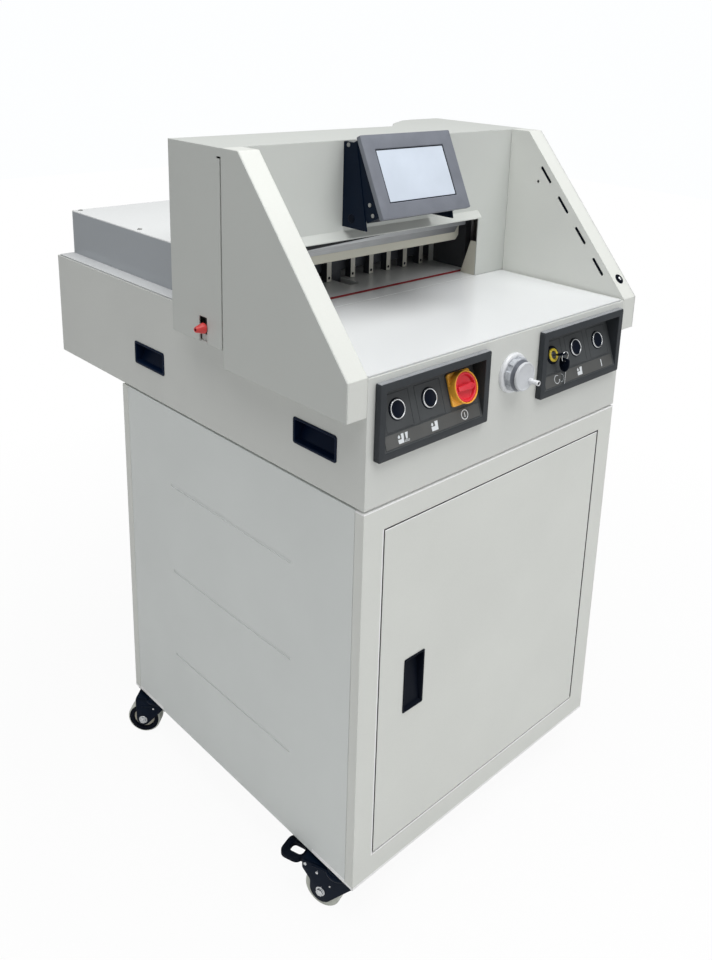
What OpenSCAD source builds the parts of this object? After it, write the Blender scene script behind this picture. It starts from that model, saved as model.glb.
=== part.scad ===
// Electric paper cutter: a cabinet on casters carries a base box with the table, and behind the table stands
// the cutting tower with its knife, clamp and back gauge between two sloping side shields.
// Millimetres, +Z up, the operator stands at -Y, the origin lies on the floor under the middle.

/* [Cabinet] */
// width of the cabinet and the base
base_w = 600; // [585:1:620]
// depth of the cabinet
cab_d = 630; // [600:1:660]
// height of the cabinet
cab_h = 631; // [600:1:680]
// thickness of the sheet metal
sheet = 2; // [1.5:0.1:2.5]
// thickness of the cabinet floor
floor_t = 4; // [3:0.5:6]
// depth of the front frame and the back panel round the corners
corner_wrap = 17; // [12:1:25]
// visible seam between two sheets
seam = 0.6; // [0.4:0.1:1]
// width of the folded rims inside the cabinet
rim_w = 18; // [15:1:24]
// width of the door
door_w = 517; // [500:1:530]
// height of the door
door_h = 548; // [500:1:560]
// height of the door's lower edge over the cabinet's lower edge
door_rise = 45; // [40:1:50]
// depth of the door
door_t = 18; // [16:1:22]
// gap round the door
door_gap = 2.5; // [2.2:0.1:3]
// radius of the door's pivot pins
door_pin_r = 2.5; // [2:0.1:3]
// width of the recessed door pull
pull_w = 43; // [36:1:50]
// height of the recessed door pull
pull_h = 93; // [80:1:110]
// depth of the pull's cup
pull_depth = 14; // [10:1:15]
// length of a pressed groove in a side panel
groove_len = 320; // [280:1:360]
// width of a pressed groove
groove_w = 6; // [4:0.5:8]

/* [Casters] */
// height of a caster from the floor to its plate
caster_h = 85; // [83:1:90]
// radius of a caster wheel
wheel_r = 31.5; // [30:0.5:32]
// width of a caster wheel
wheel_w = 24; // [20:1:26]
// trail of the wheel behind the swivel
trail = 27; // [24:1:29]
// radius of the swivel pin
kingpin_r = 6; // [5:0.5:7]
// radius of the wheel axle
axle_r = 4; // [3:0.5:5]
// reach of a brake pedal from the swivel
pedal_reach = 105; // [102:1:110]
// width of a brake pedal
pedal_w = 41; // [38:1:46]
// width of the band round the pedal's opening
pedal_band = 12; // [9:1:13]
// radius of the brake pedal's pin
pedal_pin_r = 3; // [2.5:0.5:3.5]
// thickness of a fork leg
leg_t = 3; // [2.5:0.5:4]

/* [Base and table] */
// depth of the base
base_d = 855; // [845:1:880]
// height of the base
base_h = 188; // [184:1:200]
// shadow gap between cabinet and base
seat_gap = 4; // [3:0.5:6]
// thickness of the table plate
table_t = 14; // [13:0.5:18]
// rise of the table over the base's walls
table_rise = 2; // [1:0.5:3]
// groove between the table and the base's walls
table_gap = 1.5; // [0.5:0.1:2]
// length of a hand grip
grip_w = 92.5; // [80:0.5:100]
// height of a hand grip
grip_h = 40; // [34:1:46]
// depth of a hand grip
grip_depth = 24; // [18:1:28]

/* [Controls] */
// width of a control panel
panel_w = 222; // [216:1:226]
// height of a control panel
panel_h = 110; // [108:1:112]
// how far a control panel stands out from the base
panel_out = 10; // [8:0.5:12]
// width of the rim round a panel's sloped face
panel_rim = 11.5; // [10:0.5:13]
// lean of the panel's face from the vertical
face_tilt = 19.2; // [15:0.2:20]
// pitch of the controls on a panel
control_pitch = 63; // [60:1:66]
// radius of a push button's bezel
bezel_r = 15; // [14:0.5:16]
// radius of a push button
button_r = 11.3; // [10:0.1:12]
// travel of a push button
button_travel = 3; // [2:0.5:4]
// side of the main switch's square plate
switch_side = 48; // [46:1:54]
// radius of the main switch's collar
collar_r = 24; // [22:0.5:25]
// radius of the lock core
core_r = 6; // [5:0.5:7]
// radius of the key ring
key_ring_r = 8; // [7.5:0.1:9]

/* [Hand wheel] */
// radius of the wheel's fixed bezel
dial_r = 31.5; // [29:0.5:34]
// radius of the wheel
wheel_rim_r = 27; // [25:0.5:28.5]
// radius of the wheel's front face
wheel_face_r = 22.5; // [21:0.5:24]
// reach of the handle in front of the base
nose = 42; // [40:1:46]
// radius of the handle
handle_r = 4.3; // [4:0.1:5]
// distance of the handle from the wheel's axis
handle_throw = 15; // [13:0.5:16]

/* [Tower and shields] */
// thickness of a side shield
shield_t = 36; // [32:1:40]
// distance of the tower's front behind the base's front
tower_y = 266; // [262:1:268]
// depth of the tower
tower_d = 132; // [130:1:136]
// height of the tower over the table
tower_h = 263; // [260:1:275]
// horizontal run of a shield's slanted edge
slant_run = 227; // [210:1:230]
// drop of a shield below the table
shield_drop = 55; // [50:1:60]
// drop of the tower's side columns below the table
column_drop = 28; // [26:1:32]
// width of the cutting opening
open_w = 440; // [438:1:444]
// height of the cutting opening
open_h = 109; // [105:1:112]
// length of a light-barrier slot
slot_len = 35.5; // [30:0.5:40]
// width of a light-barrier slot
slot_w = 6; // [5:0.5:8]
// pitch of the light-barrier slots along the slant
slot_pitch = 63.4; // [60:0.2:66]
// height of the rear cover
cover_h = 81; // [79:1:86]
// width of the rear cover
cover_w = 540; // [520:1:560]

/* [Console] */
// width of the console's bezel
console_w = 199; // [190:1:205]
// height of the console's bezel
console_h = 132; // [126:1:136]
// lean of the console from the vertical
console_tilt = 25.4; // [24:0.2:27]
// width of the screen
screen_w = 151; // [145:1:155]
// height of the screen
screen_h = 85; // [80:1:90]
// depth of the console's housing
housing_d = 30; // [26:1:31]

/* [Cutting mechanism] */
// length of the knife
knife_l = 449; // [446:1:450]
// thickness of the blade
blade_t = 10; // [9:0.5:11]
// height of the blade's ground bevel
bevel_h = 18; // [15:0.5:19]
// height of the raised knife edge over the table
knife_lift = 76; // [74:0.5:80]
// drop of the knife
knife_drop = 75; // [72:0.5:75]
// sideways travel of the knife during the drop
knife_shift = 12; // [10:0.5:13]
// radius of the knife's guide rollers
roller_r = 9; // [8:0.5:10]
// radius of the knife spindle
knife_spindle_r = 10; // [9:0.5:11]
// height of the raised clamp over the table
clamp_lift = 61; // [60:0.5:63]
// depth of the clamp
clamp_d = 34; // [30:1:36]
// radius of the clamp spindle
clamp_spindle_r = 9; // [8:0.5:10]
// radius of the gauge spindle
gauge_spindle_r = 8; // [7:0.5:9]
// width of a gauge post
post_w = 10; // [8:0.5:11]
// height of a gauge post
post_h = 74; // [68:1:75]
// side of the two small motors
motor_side = 56; // [52:1:57]
// length of the two small motors
motor_len = 50; // [44:1:50]
// width of the cutting stick
stick_w = 10; // [9:0.5:11]
// height of the cutting stick
stick_h = 10; // [9:0.5:10.5]
// radius of the red knob's base
knob_r = 8; // [7:0.5:9]

/* [Hidden] */
$fn = 64;

// small amount by which a cutting body passes the face that it opens
cut = 1;
// radial clearance of a running fit
fit = 0.05;
// clearance between parts that move past each other
air = 0.4;

// main levels and planes, in front coordinates: y counts from the base's front face
half_w = base_w / 2;
front_y = -(base_d - nose) / 2;
cab_z0 = caster_h;
cab_z1 = cab_z0 + cab_h;
base_z0 = cab_z1 + seat_gap;
base_z1 = base_z0 + base_h;
table_z = base_z1 + table_rise;
table_under = table_z - table_t;
tower_z1 = table_z + tower_h;
tower_back = tower_y + tower_d;
side_x = half_w + shield_t;
skin_x = side_x - sheet;
wall_z0 = cab_z0 + floor_t;
wall_h = cab_z1 - wall_z0;

// door and its pivot
door_z0 = cab_z0 + door_rise;
door_z1 = door_z0 + door_h;
hinge_in = 3;
hinge_back = 4.5;
hinge_x = door_w / 2 - hinge_in;
jamb_d = 24;
lug_h = 8;
pull_x = -186.5;
pull_z = door_z0 + 269;
pull_lip = 1.5;
pull_wall = 1.5;

// casters: centre of each swivel and the direction in which its wheel trails
caster_in_x = 21;
caster_in_y = 48;
caster_x = half_w - caster_in_x;
caster_y0 = caster_in_y;
caster_y1 = cab_d - caster_in_y;
plate_in_x = 1;
plate_in_y = 7;
plate_w = 70;
plate_l = 94;
plate_t = 3;
race_t = 4;
race_r = 22;
head_t = 9;
head_gap = 0.4;
head_z1 = caster_h - plate_t - race_t - head_gap;
head_z0 = head_z1 - head_t;
rivet_t = 3;
rivet_r = 9;
leg_y = wheel_w / 2 + 2;
pedal_pin_x = trail + 29;
pedal_pin_z = 70;
pedal_t = 8;
pedal_neck = 9.5;
pedal_lip = 3;
pedal_round = 12;

// base details
flange_w = 14;
neck_in = 8;
neck_w = 40;
grip_ys = [102.5, 534];
grip_z = base_z0 + 70;
grip_rim = 1.5;
grip_wall = 2;

// control panels
panel_x = 175;
panel_z0 = base_z0 + 68.5;
panel_body_in = 7;
panel_body_d = 30;
panel_wall = 3.5;
face_z0 = panel_z0 + panel_rim - 1;
face_z1 = panel_z0 + panel_h - panel_rim + 1;
face_slope = tan(face_tilt);
control_s = 52.7;
bezel_t = 3;
barrel_r = 12.6;
barrel_d = 22;
barrel_end = 3;
cap_proud = 2.6;
cap_d = 13;
button_air = 0.35;
switch_plate_t = 4;
collar_d = 11;
collar_wall = 2;
switch_pin_r = 5;
lock_base_t = 1.5;
lock_ring_t = 2.5;
lock_ring_r = 11;
lock_barrel_r = 10;
key_reach = 22;
key_w = 11;
key_t = 1.6;
key_hole_r = 2.4;
key_hole_in = 4.8;
key_wire_r = 0.8;
spare_w = 18;
spare_bow_h = 22;
spare_t = 2.4;
spare_blade_h = 20;
spare_blade_w = 8;

// hand wheel
dial_z = base_z0 + 127.5;
dial_t = 6;
encoder_r = 20;
encoder_d = 28;
wheel_shaft_r = 4;
wheel_rim_t = 8.6;
wheel_face_t = 11;
handle_angle = -35;
stud_r = 2.5;
handle_hollow = 4;

// tower
open_z1 = table_z + open_h;
col_z0 = table_z - column_drop;
slit_w = 3;
slit_top = 12;
hook_w = 10;
lip_out = 10.5;
lip_h = 13;
lip_t = 1.6;
gauge_open_w = 468;
gauge_open_h = cover_h - sheet;
bump_z0 = table_z + cover_h + 5;
bump_x0 = 121;
bump_d = 88;
lever_y = 312;
slot_front = 6;
slot_back = 14;
slot_low = 15;
slot_high = 13;
slant = tower_h / slant_run;
slant_len = sqrt(slant_run * slant_run + tower_h * tower_h);
slant_angle = atan2(tower_h, slant_run);
slot_first = 73;
slot_in = 14.4;
light_bar_w = 14;
light_bar_t = 4;
sight_r = 2.7;
sight_in = 35.6;
shield_gap = 0.2;
push_r = 6;
push_t = 37.5;
push_proud = 3;
push_flange_r = 8;
push_flange_t = 2;

// frame, knife, clamp and gauge
guard_foot_y = 302;
guard_top = 13;
guard_z1 = table_z + 63;
guard_air = 2;
table_groove = 1;
knife_room = 31;
plate_x = (knife_l + knife_shift + knife_room) / 2;
frame_t = 14;
frame_y = 316;
frame_z1 = table_z + 240;
beam_z0 = table_z + 175;
beam_t = 30;
beam_y = 346;
guide_y = tower_y + sheet + 2;
guide_t = 11;
guide_x = plate_x + 44;
guide_z0 = table_z + 116;
link_z0 = table_z + 195;
carrier_gap = 3;
carrier_y = guide_y + guide_t + carrier_gap;
carrier_t = 15;
blade_y = carrier_y + carrier_t;
edge_y = blade_y + blade_t;
edge_z = table_z + knife_lift;
blade_h = 80;
knife_side_gap = 3;
knife_x0 = -plate_x + knife_side_gap;
carrier_z0 = edge_z + bevel_h;
carrier_h = 120;
roller_xs = [-140, 100];
roller_drop = 12;
roller_z = carrier_z0 + carrier_h - roller_drop;
arm_z = roller_z - 37;
arm_h = 30;
arm_x = plate_x + 16;
pin_r = 8;
nut_plate_y = blade_y + 1;
nut_plate_t = 12;
nut_plate_h = 36;
nut_end = 12;
knife_spindle_x = plate_x + 36;
knife_spindle_y = 332;
nut_w = 36;
nut_d = 38;
nut_h = 30;
foot_z = table_z + 15;
foot_t = 14;
gearbox_z0 = table_z + 206;
gearbox_h = 50;
knife_motor_x = plate_x + 16;
knife_motor_y = 436;
knife_motor_r = 38;
knife_motor_h = 140;
bore_d = 15;
clamp_y = edge_y + 2;
clamp_w = 438;
clamp_h = 64;
clamp_z = table_z + clamp_lift;
web_w = 240;
web_d = 15;
lug_w = 44;
lug_z = table_z + 130;
nut_lug_h = 38;
clamp_spindle_y = 362;
lug_reach = 18;
clamp_spindle_z0 = table_z + 73;
gauge_y = 389;
post_d = 14;
post_pairs = [28, 73, 117, 160, 204];
bar_w = 424;
bar_d = 18;
bar_z0 = table_z + 15;
bar_h = 50;
gauge_slot_w = 24;
gauge_slot_y0 = 353;
gauge_slot_y1 = 790;
gauge_foot_d = 37;
gauge_air = 1;
gauge_axis_z = table_under - 34;
gauge_nut_w = 44;
gauge_nut_h = 30;
bearing_t = 8;
bearing_w = 36;
bearing_y0 = 338;
bearing_y1 = 792;
gauge_motor_y = bearing_y1 + bearing_t;
stick_y = edge_y;
stick_x0 = -246;
stick_x1 = 234;
stick_air = 0.1;
lever_pivot_x = -(half_w - 25);
lever_tip_x = -236;
lever_pin_r = 3;
lever_z = table_z - 4.4;
lever_pivot_z = table_under - 8;
lever_bar_t = 8;
lever_slot_w = 18;
knob_l = 15;
knob_tip_r = 3.5;
ear_t = 5;

// console: middle of the bezel's front face and its parts
console_x = -11.25;
console_y = 203;
console_z = table_z + 214;
bezel_d = 8;
screen_t = 3;
screen_in = 1.2;
housing_in = 5;
bracket_t = 2.5;
bracket_foot_y = 211;
bracket_z0 = table_z + 130;
bracket_z1 = table_z + 261.5;
bracket_top_y = 237;

// power unit in the rear of the base
power_w = 140;
power_d = 160;
power_h = 76;
power_x = -(half_w - 110);
inlet_w = 46;
inlet_h = 26;
inlet_deep = 8;

paint = [0.80, 0.81, 0.79];
dark = [0.20, 0.21, 0.22];
steel = [0.66, 0.67, 0.68];
black = [0.07, 0.07, 0.08];
cream = [0.80, 0.79, 0.72];

module at_front() {
    translate([0, front_y, 0]) children();
}

// box between two corners, in front coordinates
module block(lo, hi) {
    translate(lo) cube(hi - lo);
}

// rod along X, Y or Z that starts at a point
module rod_x(p, r, len) {
    translate(p) rotate([0, 90, 0]) cylinder(r = r, h = len);
}
module rod_y(p, r, len) {
    translate(p) rotate([-90, 0, 0]) cylinder(r = r, h = len);
}
module rod_z(p, r, len) {
    translate(p) cylinder(r = r, h = len);
}

// level plate between two corners, with its four upright edges rounded
module round_plate(lo, hi, r) {
    block([lo.x + r, lo.y, lo.z], [hi.x - r, hi.y, hi.z]);
    block([lo.x, lo.y + r, lo.z], [hi.x, hi.y - r, hi.z]);
    for (x = [lo.x + r, hi.x - r], y = [lo.y + r, hi.y - r]) {
        rod_z([x, y, lo.z], r, hi.z - lo.z);
    }
}

// outline in the (y, z) plane, drawn out along +X from x0
module along_x(x0, len, pts) {
    translate([x0, 0, 0]) rotate([90, 0, 90]) linear_extrude(len) polygon(pts);
}

// Cabinet

module cabinet_frame() {
    open_x = door_w / 2 + door_gap;
    open_z0 = door_z0 - door_gap;
    open_z1 = door_z1 + door_gap;
    color(paint) at_front() difference() {
        union() {
            block([-half_w, 0, wall_z0], [half_w, sheet, cab_z1]);
            for (x = [-half_w, half_w - sheet]) {
                block([x, 0, wall_z0], [x + sheet, corner_wrap, cab_z1]);
            }
            block([-half_w, 0, cab_z1 - sheet], [half_w, corner_wrap, cab_z1]);
            block([-half_w, 0, wall_z0], [half_w, corner_wrap, wall_z0 + sheet]);
            block([-open_x - sheet, 0, open_z0 - sheet], [open_x + sheet, jamb_d, open_z1 + sheet]);
            for (z = [open_z0 - lug_h, open_z1]) {
                block([hinge_x - lug_h, 0, z], [open_x, 2 * lug_h, z + lug_h]);
            }
        }
        block([-open_x, -cut, open_z0], [open_x, jamb_d + cut, open_z1]);
        rod_z([hinge_x, hinge_back, open_z0 - lug_h - cut], door_pin_r + fit, door_h + 4 * lug_h);
    }
}

module cabinet_side(side) {
    y0 = corner_wrap + seam;
    y1 = cab_d - corner_wrap - seam;
    groove_y = (cab_d - groove_len) / 2;
    groove_deep = sheet / 2;
    color(paint) at_front() mirror([side > 0 ? 1 : 0, 0, 0]) difference() {
        union() {
            block([-half_w, y0, wall_z0], [-half_w + sheet, y1, cab_z1]);
            block([-half_w, y0, cab_z1 - sheet], [-half_w + rim_w, y1, cab_z1]);
        }
        for (z = [154.5, 324.5, 491]) {
            translate([-half_w, groove_y, cab_z0 + z]) groove(groove_deep);
        }
    }
}

// pressed groove with round ends, open to -X
module groove(deep) {
    block([-cut, 0, -groove_w / 2], [deep, groove_len, groove_w / 2]);
    for (y = [0, groove_len]) {
        rod_x([-cut, y, 0], groove_w / 2, deep + cut);
    }
}

module cabinet_side_left() {
    cabinet_side(-1);
}

module cabinet_side_right() {
    cabinet_side(1);
}

module cabinet_back() {
    color(paint) at_front() union() {
        block([-half_w, cab_d - sheet, wall_z0], [half_w, cab_d, cab_z1]);
        for (x = [-half_w, half_w - sheet]) {
            block([x, cab_d - corner_wrap, wall_z0], [x + sheet, cab_d, cab_z1]);
        }
        block([-half_w, cab_d - corner_wrap, cab_z1 - sheet], [half_w, cab_d, cab_z1]);
    }
}

module cabinet_floor() {
    color(paint) at_front() block([-half_w, 0, cab_z0], [half_w, cab_d, wall_z0]);
}

module door() {
    half = door_w / 2;
    chamfer = 1.5;
    boss = 10;
    pin_len = door_gap + lug_h - 1;
    color(paint) at_front() difference() {
        union() {
            difference() {
                translate([0, 0, door_z0]) linear_extrude(door_h) polygon([
                    [-half, 0], [half - chamfer, 0], [half, chamfer], [half, door_t], [-half, door_t]
                ]);
                block([-half + sheet, sheet, door_z0 + sheet], [half - sheet, door_t + cut, door_z1 - sheet]);
            }
            for (z = [door_z0, door_z1 - boss]) {
                block([half - boss, chamfer, z], [half, boss, z + boss]);
            }
            rod_z([hinge_x, hinge_back, door_z0 - pin_len], door_pin_r, pin_len + boss);
            rod_z([hinge_x, hinge_back, door_z1 - boss], door_pin_r, pin_len + boss);
        }
        block(
            [pull_x - pull_w / 2 + pull_lip, -cut, pull_z - pull_h / 2 + pull_lip],
            [pull_x + pull_w / 2 - pull_lip, sheet + cut, pull_z + pull_h / 2 - pull_lip]
        );
    }
}

module door_pull() {
    cup_x = pull_w / 2 - pull_lip;
    cup_z = pull_h / 2 - pull_lip;
    in_x = cup_x - pull_wall;
    in_z = cup_z - pull_wall;
    color(black) at_front() translate([pull_x, 0, pull_z]) difference() {
        union() {
            block([-pull_w / 2, -pull_lip, -pull_h / 2], [pull_w / 2, 0, pull_h / 2]);
            block([-cup_x, -pull_lip, -cup_z], [cup_x, pull_depth, cup_z]);
        }
        block([-in_x, -pull_lip - cut, -in_z], [in_x, pull_depth - pull_wall, in_z]);
    }
}

// Casters: each is drawn round its swivel axis with the wheel trailing along +X

module at_caster(corner) {
    xs = [-caster_x, caster_x, -caster_x, caster_x];
    ys = [caster_y0, caster_y0, caster_y1, caster_y1];
    at_front() translate([xs[corner], ys[corner], 0]) children();
}

module at_fork(corner) {
    turns = [107.5, 80, 130, 50];
    at_caster(corner) rotate([0, 0, turns[corner]]) children();
}

module caster_plates() {
    x0 = plate_in_x - caster_in_x;
    y0 = plate_in_y - caster_in_y;
    color(black) for (corner = [0 : 3]) {
        at_caster(corner) union() {
            mirror([corner % 2, 0, 0]) mirror([0, corner > 1 ? 1 : 0, 0]) {
                block([x0, y0, caster_h - plate_t], [x0 + plate_w, y0 + plate_l, caster_h]);
            }
            rod_z([0, 0, caster_h - plate_t - race_t], race_r, race_t);
            rod_z([0, 0, head_z0 - head_gap - rivet_t], kingpin_r, caster_h - head_z0);
            rod_z([0, 0, head_z0 - head_gap - rivet_t], rivet_r, rivet_t);
        }
    }
}

module fork(corner, braked) {
    nut_r = 7;
    nut_t = 5;
    hub_r = braked ? 20 : 13;
    back_x = braked ? pedal_pin_x + 6 : trail + 14;
    front_x = braked ? -30 : -19;
    head_r = 25;
    color(black) at_fork(corner) difference() {
        union() {
            rod_z([0, 0, head_z0], head_r, head_t);
            for (y = [-leg_y - leg_t, leg_y]) {
                translate([0, y + leg_t, 0]) rotate([90, 0, 0]) linear_extrude(leg_t) polygon([
                    [front_x, head_z1], [back_x, head_z1], [back_x, head_z0 - 8],
                    [trail + hub_r, wheel_r + 13], [trail + hub_r, wheel_r],
                    [trail - 0.8 * hub_r, wheel_r - 0.6 * hub_r], [front_x, head_z0 - 4]
                ]);
                rod_y([trail, y, wheel_r], hub_r, leg_t);
            }
            block([0, -leg_y - leg_t, head_z0], [head_r, leg_y + leg_t, head_z1]);
            rod_y([trail, -leg_y - leg_t - nut_t, wheel_r], axle_r, 2 * (leg_y + leg_t + nut_t));
            for (y = [-leg_y - leg_t - nut_t, leg_y + leg_t]) {
                rod_y([trail, y, wheel_r], nut_r, nut_t);
            }
            if (braked) {
                rod_y([pedal_pin_x, -leg_y - leg_t, pedal_pin_z], pedal_pin_r, 2 * (leg_y + leg_t));
            }
        }
        rod_z([0, 0, head_z0 - cut], kingpin_r + fit, head_t + 2 * cut);
    }
}

module fork_fl() {
    fork(0, true);
}

module fork_fr() {
    fork(1, true);
}

module fork_rl() {
    fork(2, false);
}

module fork_rr() {
    fork(3, false);
}

module caster_wheel(corner) {
    groove_r = 22;
    hub_r = 9;
    dish = 3;
    half = wheel_w / 2;
    color([0.75, 0.74, 0.68]) at_fork(corner) difference() {
        rod_y([trail, -half, wheel_r], wheel_r, wheel_w);
        rod_y([trail, -half - cut, wheel_r], axle_r + fit, wheel_w + 2 * cut);
        for (y = [-half - cut, half - dish]) {
            difference() {
                rod_y([trail, y, wheel_r], groove_r, dish + cut);
                rod_y([trail, y - cut, wheel_r], hub_r, dish + 3 * cut);
            }
        }
    }
}

module wheel_fl() {
    caster_wheel(0);
}

module wheel_fr() {
    caster_wheel(1);
}

module wheel_rl() {
    caster_wheel(2);
}

module wheel_rr() {
    caster_wheel(3);
}

// brake pedal: a wide flat loop behind the wheel, with a neck and a sleeve round the fork's pin
module brake_pedal(corner) {
    sleeve_r = pedal_pin_r + 3;
    neck_y = leg_y - air;
    z0 = pedal_pin_z - pedal_t / 2;
    loop_x = pedal_pin_x + pedal_neck;
    half = pedal_w / 2;
    color(black) at_fork(corner) difference() {
        union() {
            rod_y([pedal_pin_x, -neck_y, pedal_pin_z], sleeve_r, 2 * neck_y);
            block([pedal_pin_x, -neck_y, z0], [loop_x + cut, neck_y, z0 + pedal_t]);
            round_plate([loop_x, -half, z0], [pedal_reach, half, z0 + pedal_t], pedal_round);
        }
        round_plate(
            [loop_x + pedal_lip, -half + pedal_band, z0 - cut],
            [pedal_reach - pedal_band, half - pedal_band, z0 + pedal_t + cut],
            pedal_round / 2
        );
        rod_y([pedal_pin_x, -neck_y - cut, pedal_pin_z], pedal_pin_r + fit, 2 * neck_y + 2 * cut);
    }
}

module pedal_fl() {
    brake_pedal(0);
}

module pedal_fr() {
    brake_pedal(1);
}

// Base and table

module base_shell() {
    inner_x = half_w - sheet;
    rim_z = table_under - sheet;
    color(paint) at_front() difference() {
        union() {
            difference() {
                block([-half_w, 0, base_z0], [half_w, base_d, base_z1]);
                block([-inner_x, sheet, base_z0 + sheet], [inner_x, base_d - sheet, base_z1 + cut]);
            }
            difference() {
                block([-inner_x, sheet, rim_z], [inner_x, base_d - sheet, table_under]);
                block(
                    [-inner_x + flange_w, sheet + flange_w, rim_z - cut],
                    [inner_x - flange_w, base_d - sheet - flange_w, table_under + cut]
                );
            }
            difference() {
                block([-half_w + neck_in, neck_in, cab_z1], [half_w - neck_in, cab_d - neck_in, base_z0]);
                block(
                    [-half_w + neck_in + neck_w, neck_in + neck_w, cab_z1 - cut],
                    [half_w - neck_in - neck_w, cab_d - neck_in - neck_w, base_z0]
                );
            }
        }
        for (x = [-panel_x, panel_x]) {
            panel_hole(x);
        }
        rod_y([0, -cut, dial_z], encoder_r, sheet + 2 * cut);
        for (x = [-half_w, half_w - sheet], y = grip_ys) {
            translate([x - cut, y, grip_z]) block(
                [0, -grip_w / 2 + grip_wall, -grip_h / 2 + grip_wall],
                [sheet + 2 * cut, grip_w / 2 - grip_wall, grip_h / 2 - grip_wall]
            );
        }
        block(
            [-half_w - cut, lever_y - lever_slot_w / 2, lever_pivot_z - lever_slot_w],
            [-half_w + sheet + flange_w + cut, lever_y + lever_slot_w / 2, base_z1 + cut]
        );
        translate([power_x, base_d, base_z0 + power_h / 2]) block(
            [-inlet_w / 2, -sheet - cut, -inlet_h / 2], [inlet_w / 2, cut, inlet_h / 2]
        );
    }
}

module panel_hole(x) {
    block(
        [x - panel_w / 2 + panel_body_in, -cut, panel_z0 + panel_body_in],
        [x + panel_w / 2 - panel_body_in, sheet + cut, panel_z0 + panel_h - panel_body_in]
    );
}

module grip_cups() {
    color(black) for (side = [0, 1], y = grip_ys) {
        at_front() mirror([side, 0, 0]) translate([-half_w, y, grip_z]) grip_cup();
    }
}

// moulded hand grip, open to -X, with a floor that rises inward
module grip_cup() {
    body_y = grip_w / 2 - grip_wall;
    body_z = grip_h / 2 - grip_wall;
    in_y = body_y - grip_wall;
    in_z = body_z - grip_wall;
    rise = 16;
    difference() {
        union() {
            block([-grip_rim, -grip_w / 2, -grip_h / 2], [0, grip_w / 2, grip_h / 2]);
            block([-grip_rim, -body_y, -body_z], [grip_depth, body_y, body_z]);
        }
        translate([0, in_y, 0]) rotate([90, 0, 0]) linear_extrude(2 * in_y) polygon([
            [-grip_rim - cut, -in_z], [0, -in_z], [grip_depth - grip_wall, rise - in_z],
            [grip_depth - grip_wall, in_z], [-grip_rim - cut, in_z]
        ]);
    }
}

module table() {
    edge = sheet + table_gap;
    stick_z = table_z - stick_h - stick_air;
    bearing_z = gauge_axis_z - bearing_w / 2;
    color([0.86, 0.87, 0.87]) at_front() difference() {
        union() {
            block([-half_w + edge, edge, table_under], [half_w - edge, base_d - edge, table_z]);
            for (y = [bearing_y0, bearing_y1]) {
                block([-bearing_w / 2, y, bearing_z], [bearing_w / 2, y + bearing_t, table_under + cut]);
            }
            for (y = [lever_y - lever_slot_w / 2 - ear_t, lever_y + lever_slot_w / 2]) {
                block(
                    [lever_pivot_x - ear_t, y, lever_pivot_z - ear_t],
                    [lever_pivot_x + ear_t, y + ear_t, table_under + cut]
                );
            }
        }
        block(
            [-half_w, tower_y - table_groove, table_z - table_groove],
            [half_w, tower_y, table_z + cut]
        );
        block(
            [stick_x0 - air, stick_y - stick_w / 2 - stick_air, stick_z],
            [stick_x1 + air, stick_y + stick_w / 2 + stick_air, table_z + cut]
        );
        block(
            [-half_w, lever_y - lever_slot_w / 2, table_under - cut],
            [lever_tip_x + 2 * lever_bar_t, lever_y + lever_slot_w / 2, table_z + cut]
        );
        block(
            [-gauge_slot_w / 2, gauge_slot_y0, table_under - cut],
            [gauge_slot_w / 2, gauge_slot_y1, table_z + cut]
        );
        rod_y([0, bearing_y0 - cut, gauge_axis_z], gauge_spindle_r + fit, base_d);
        rod_y([lever_pivot_x, lever_y - lever_slot_w, lever_pivot_z], lever_pin_r + fit, 2 * lever_slot_w);
    }
}

module power_unit() {
    y1 = base_d - sheet;
    z0 = base_z0 + sheet;
    inlet_z = base_z0 + power_h / 2;
    color(steel) at_front() difference() {
        union() {
            block([power_x - power_w / 2, y1 - power_d, z0], [power_x + power_w / 2, y1, z0 + power_h]);
            block(
                [power_x - inlet_w / 2, y1 - cut, inlet_z - inlet_h / 2],
                [power_x + inlet_w / 2, base_d, inlet_z + inlet_h / 2]
            );
        }
        block(
            [power_x - inlet_w / 2 + sheet, base_d - inlet_deep, inlet_z - inlet_h / 2 + sheet],
            [power_x + inlet_w / 2 - sheet, base_d + cut, inlet_z + inlet_h / 2 - sheet]
        );
    }
}

// Control panels

function face_y(z) = -panel_out + (z - face_z0) * face_slope;

// place on a panel's sloped face: x along the panel, s up the slope, -Y points off the face
module on_face(x, s) {
    at_front() translate([x, -panel_out, face_z0]) rotate([-face_tilt, 0, 0]) translate([0, 0, s]) children();
}

module panel(side, holes) {
    x = side * panel_x;
    half = panel_w / 2;
    face_half = half - panel_rim;
    body_half = half - panel_body_in;
    body_z0 = panel_z0 + panel_body_in;
    body_z1 = panel_z0 + panel_h - panel_body_in;
    color(dark) difference() {
        at_front() difference() {
            union() {
                block([x - half, -panel_out, panel_z0], [x + half, 0, panel_z0 + panel_h]);
                block([x - body_half, -panel_out, body_z0], [x + body_half, panel_body_d, body_z1]);
            }
            along_x(x - face_half, 2 * face_half, [
                [-panel_out, face_z0], [face_y(face_z1), face_z1], [-panel_out - cut, face_z1],
                [-panel_out - cut, face_z0]
            ]);
            along_x(x - body_half + sheet, 2 * (body_half - sheet), [
                [face_y(body_z0 + sheet) + panel_wall, body_z0 + sheet],
                [panel_body_d + cut, body_z0 + sheet], [panel_body_d + cut, face_z1 - sheet],
                [face_y(face_z1 - sheet) + panel_wall, face_z1 - sheet]
            ]);
        }
        for (h = holes) {
            on_face(x + h[0], h[1]) rod_y([0, -panel_out, 0], h[2], 3 * panel_out);
        }
    }
}

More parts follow.
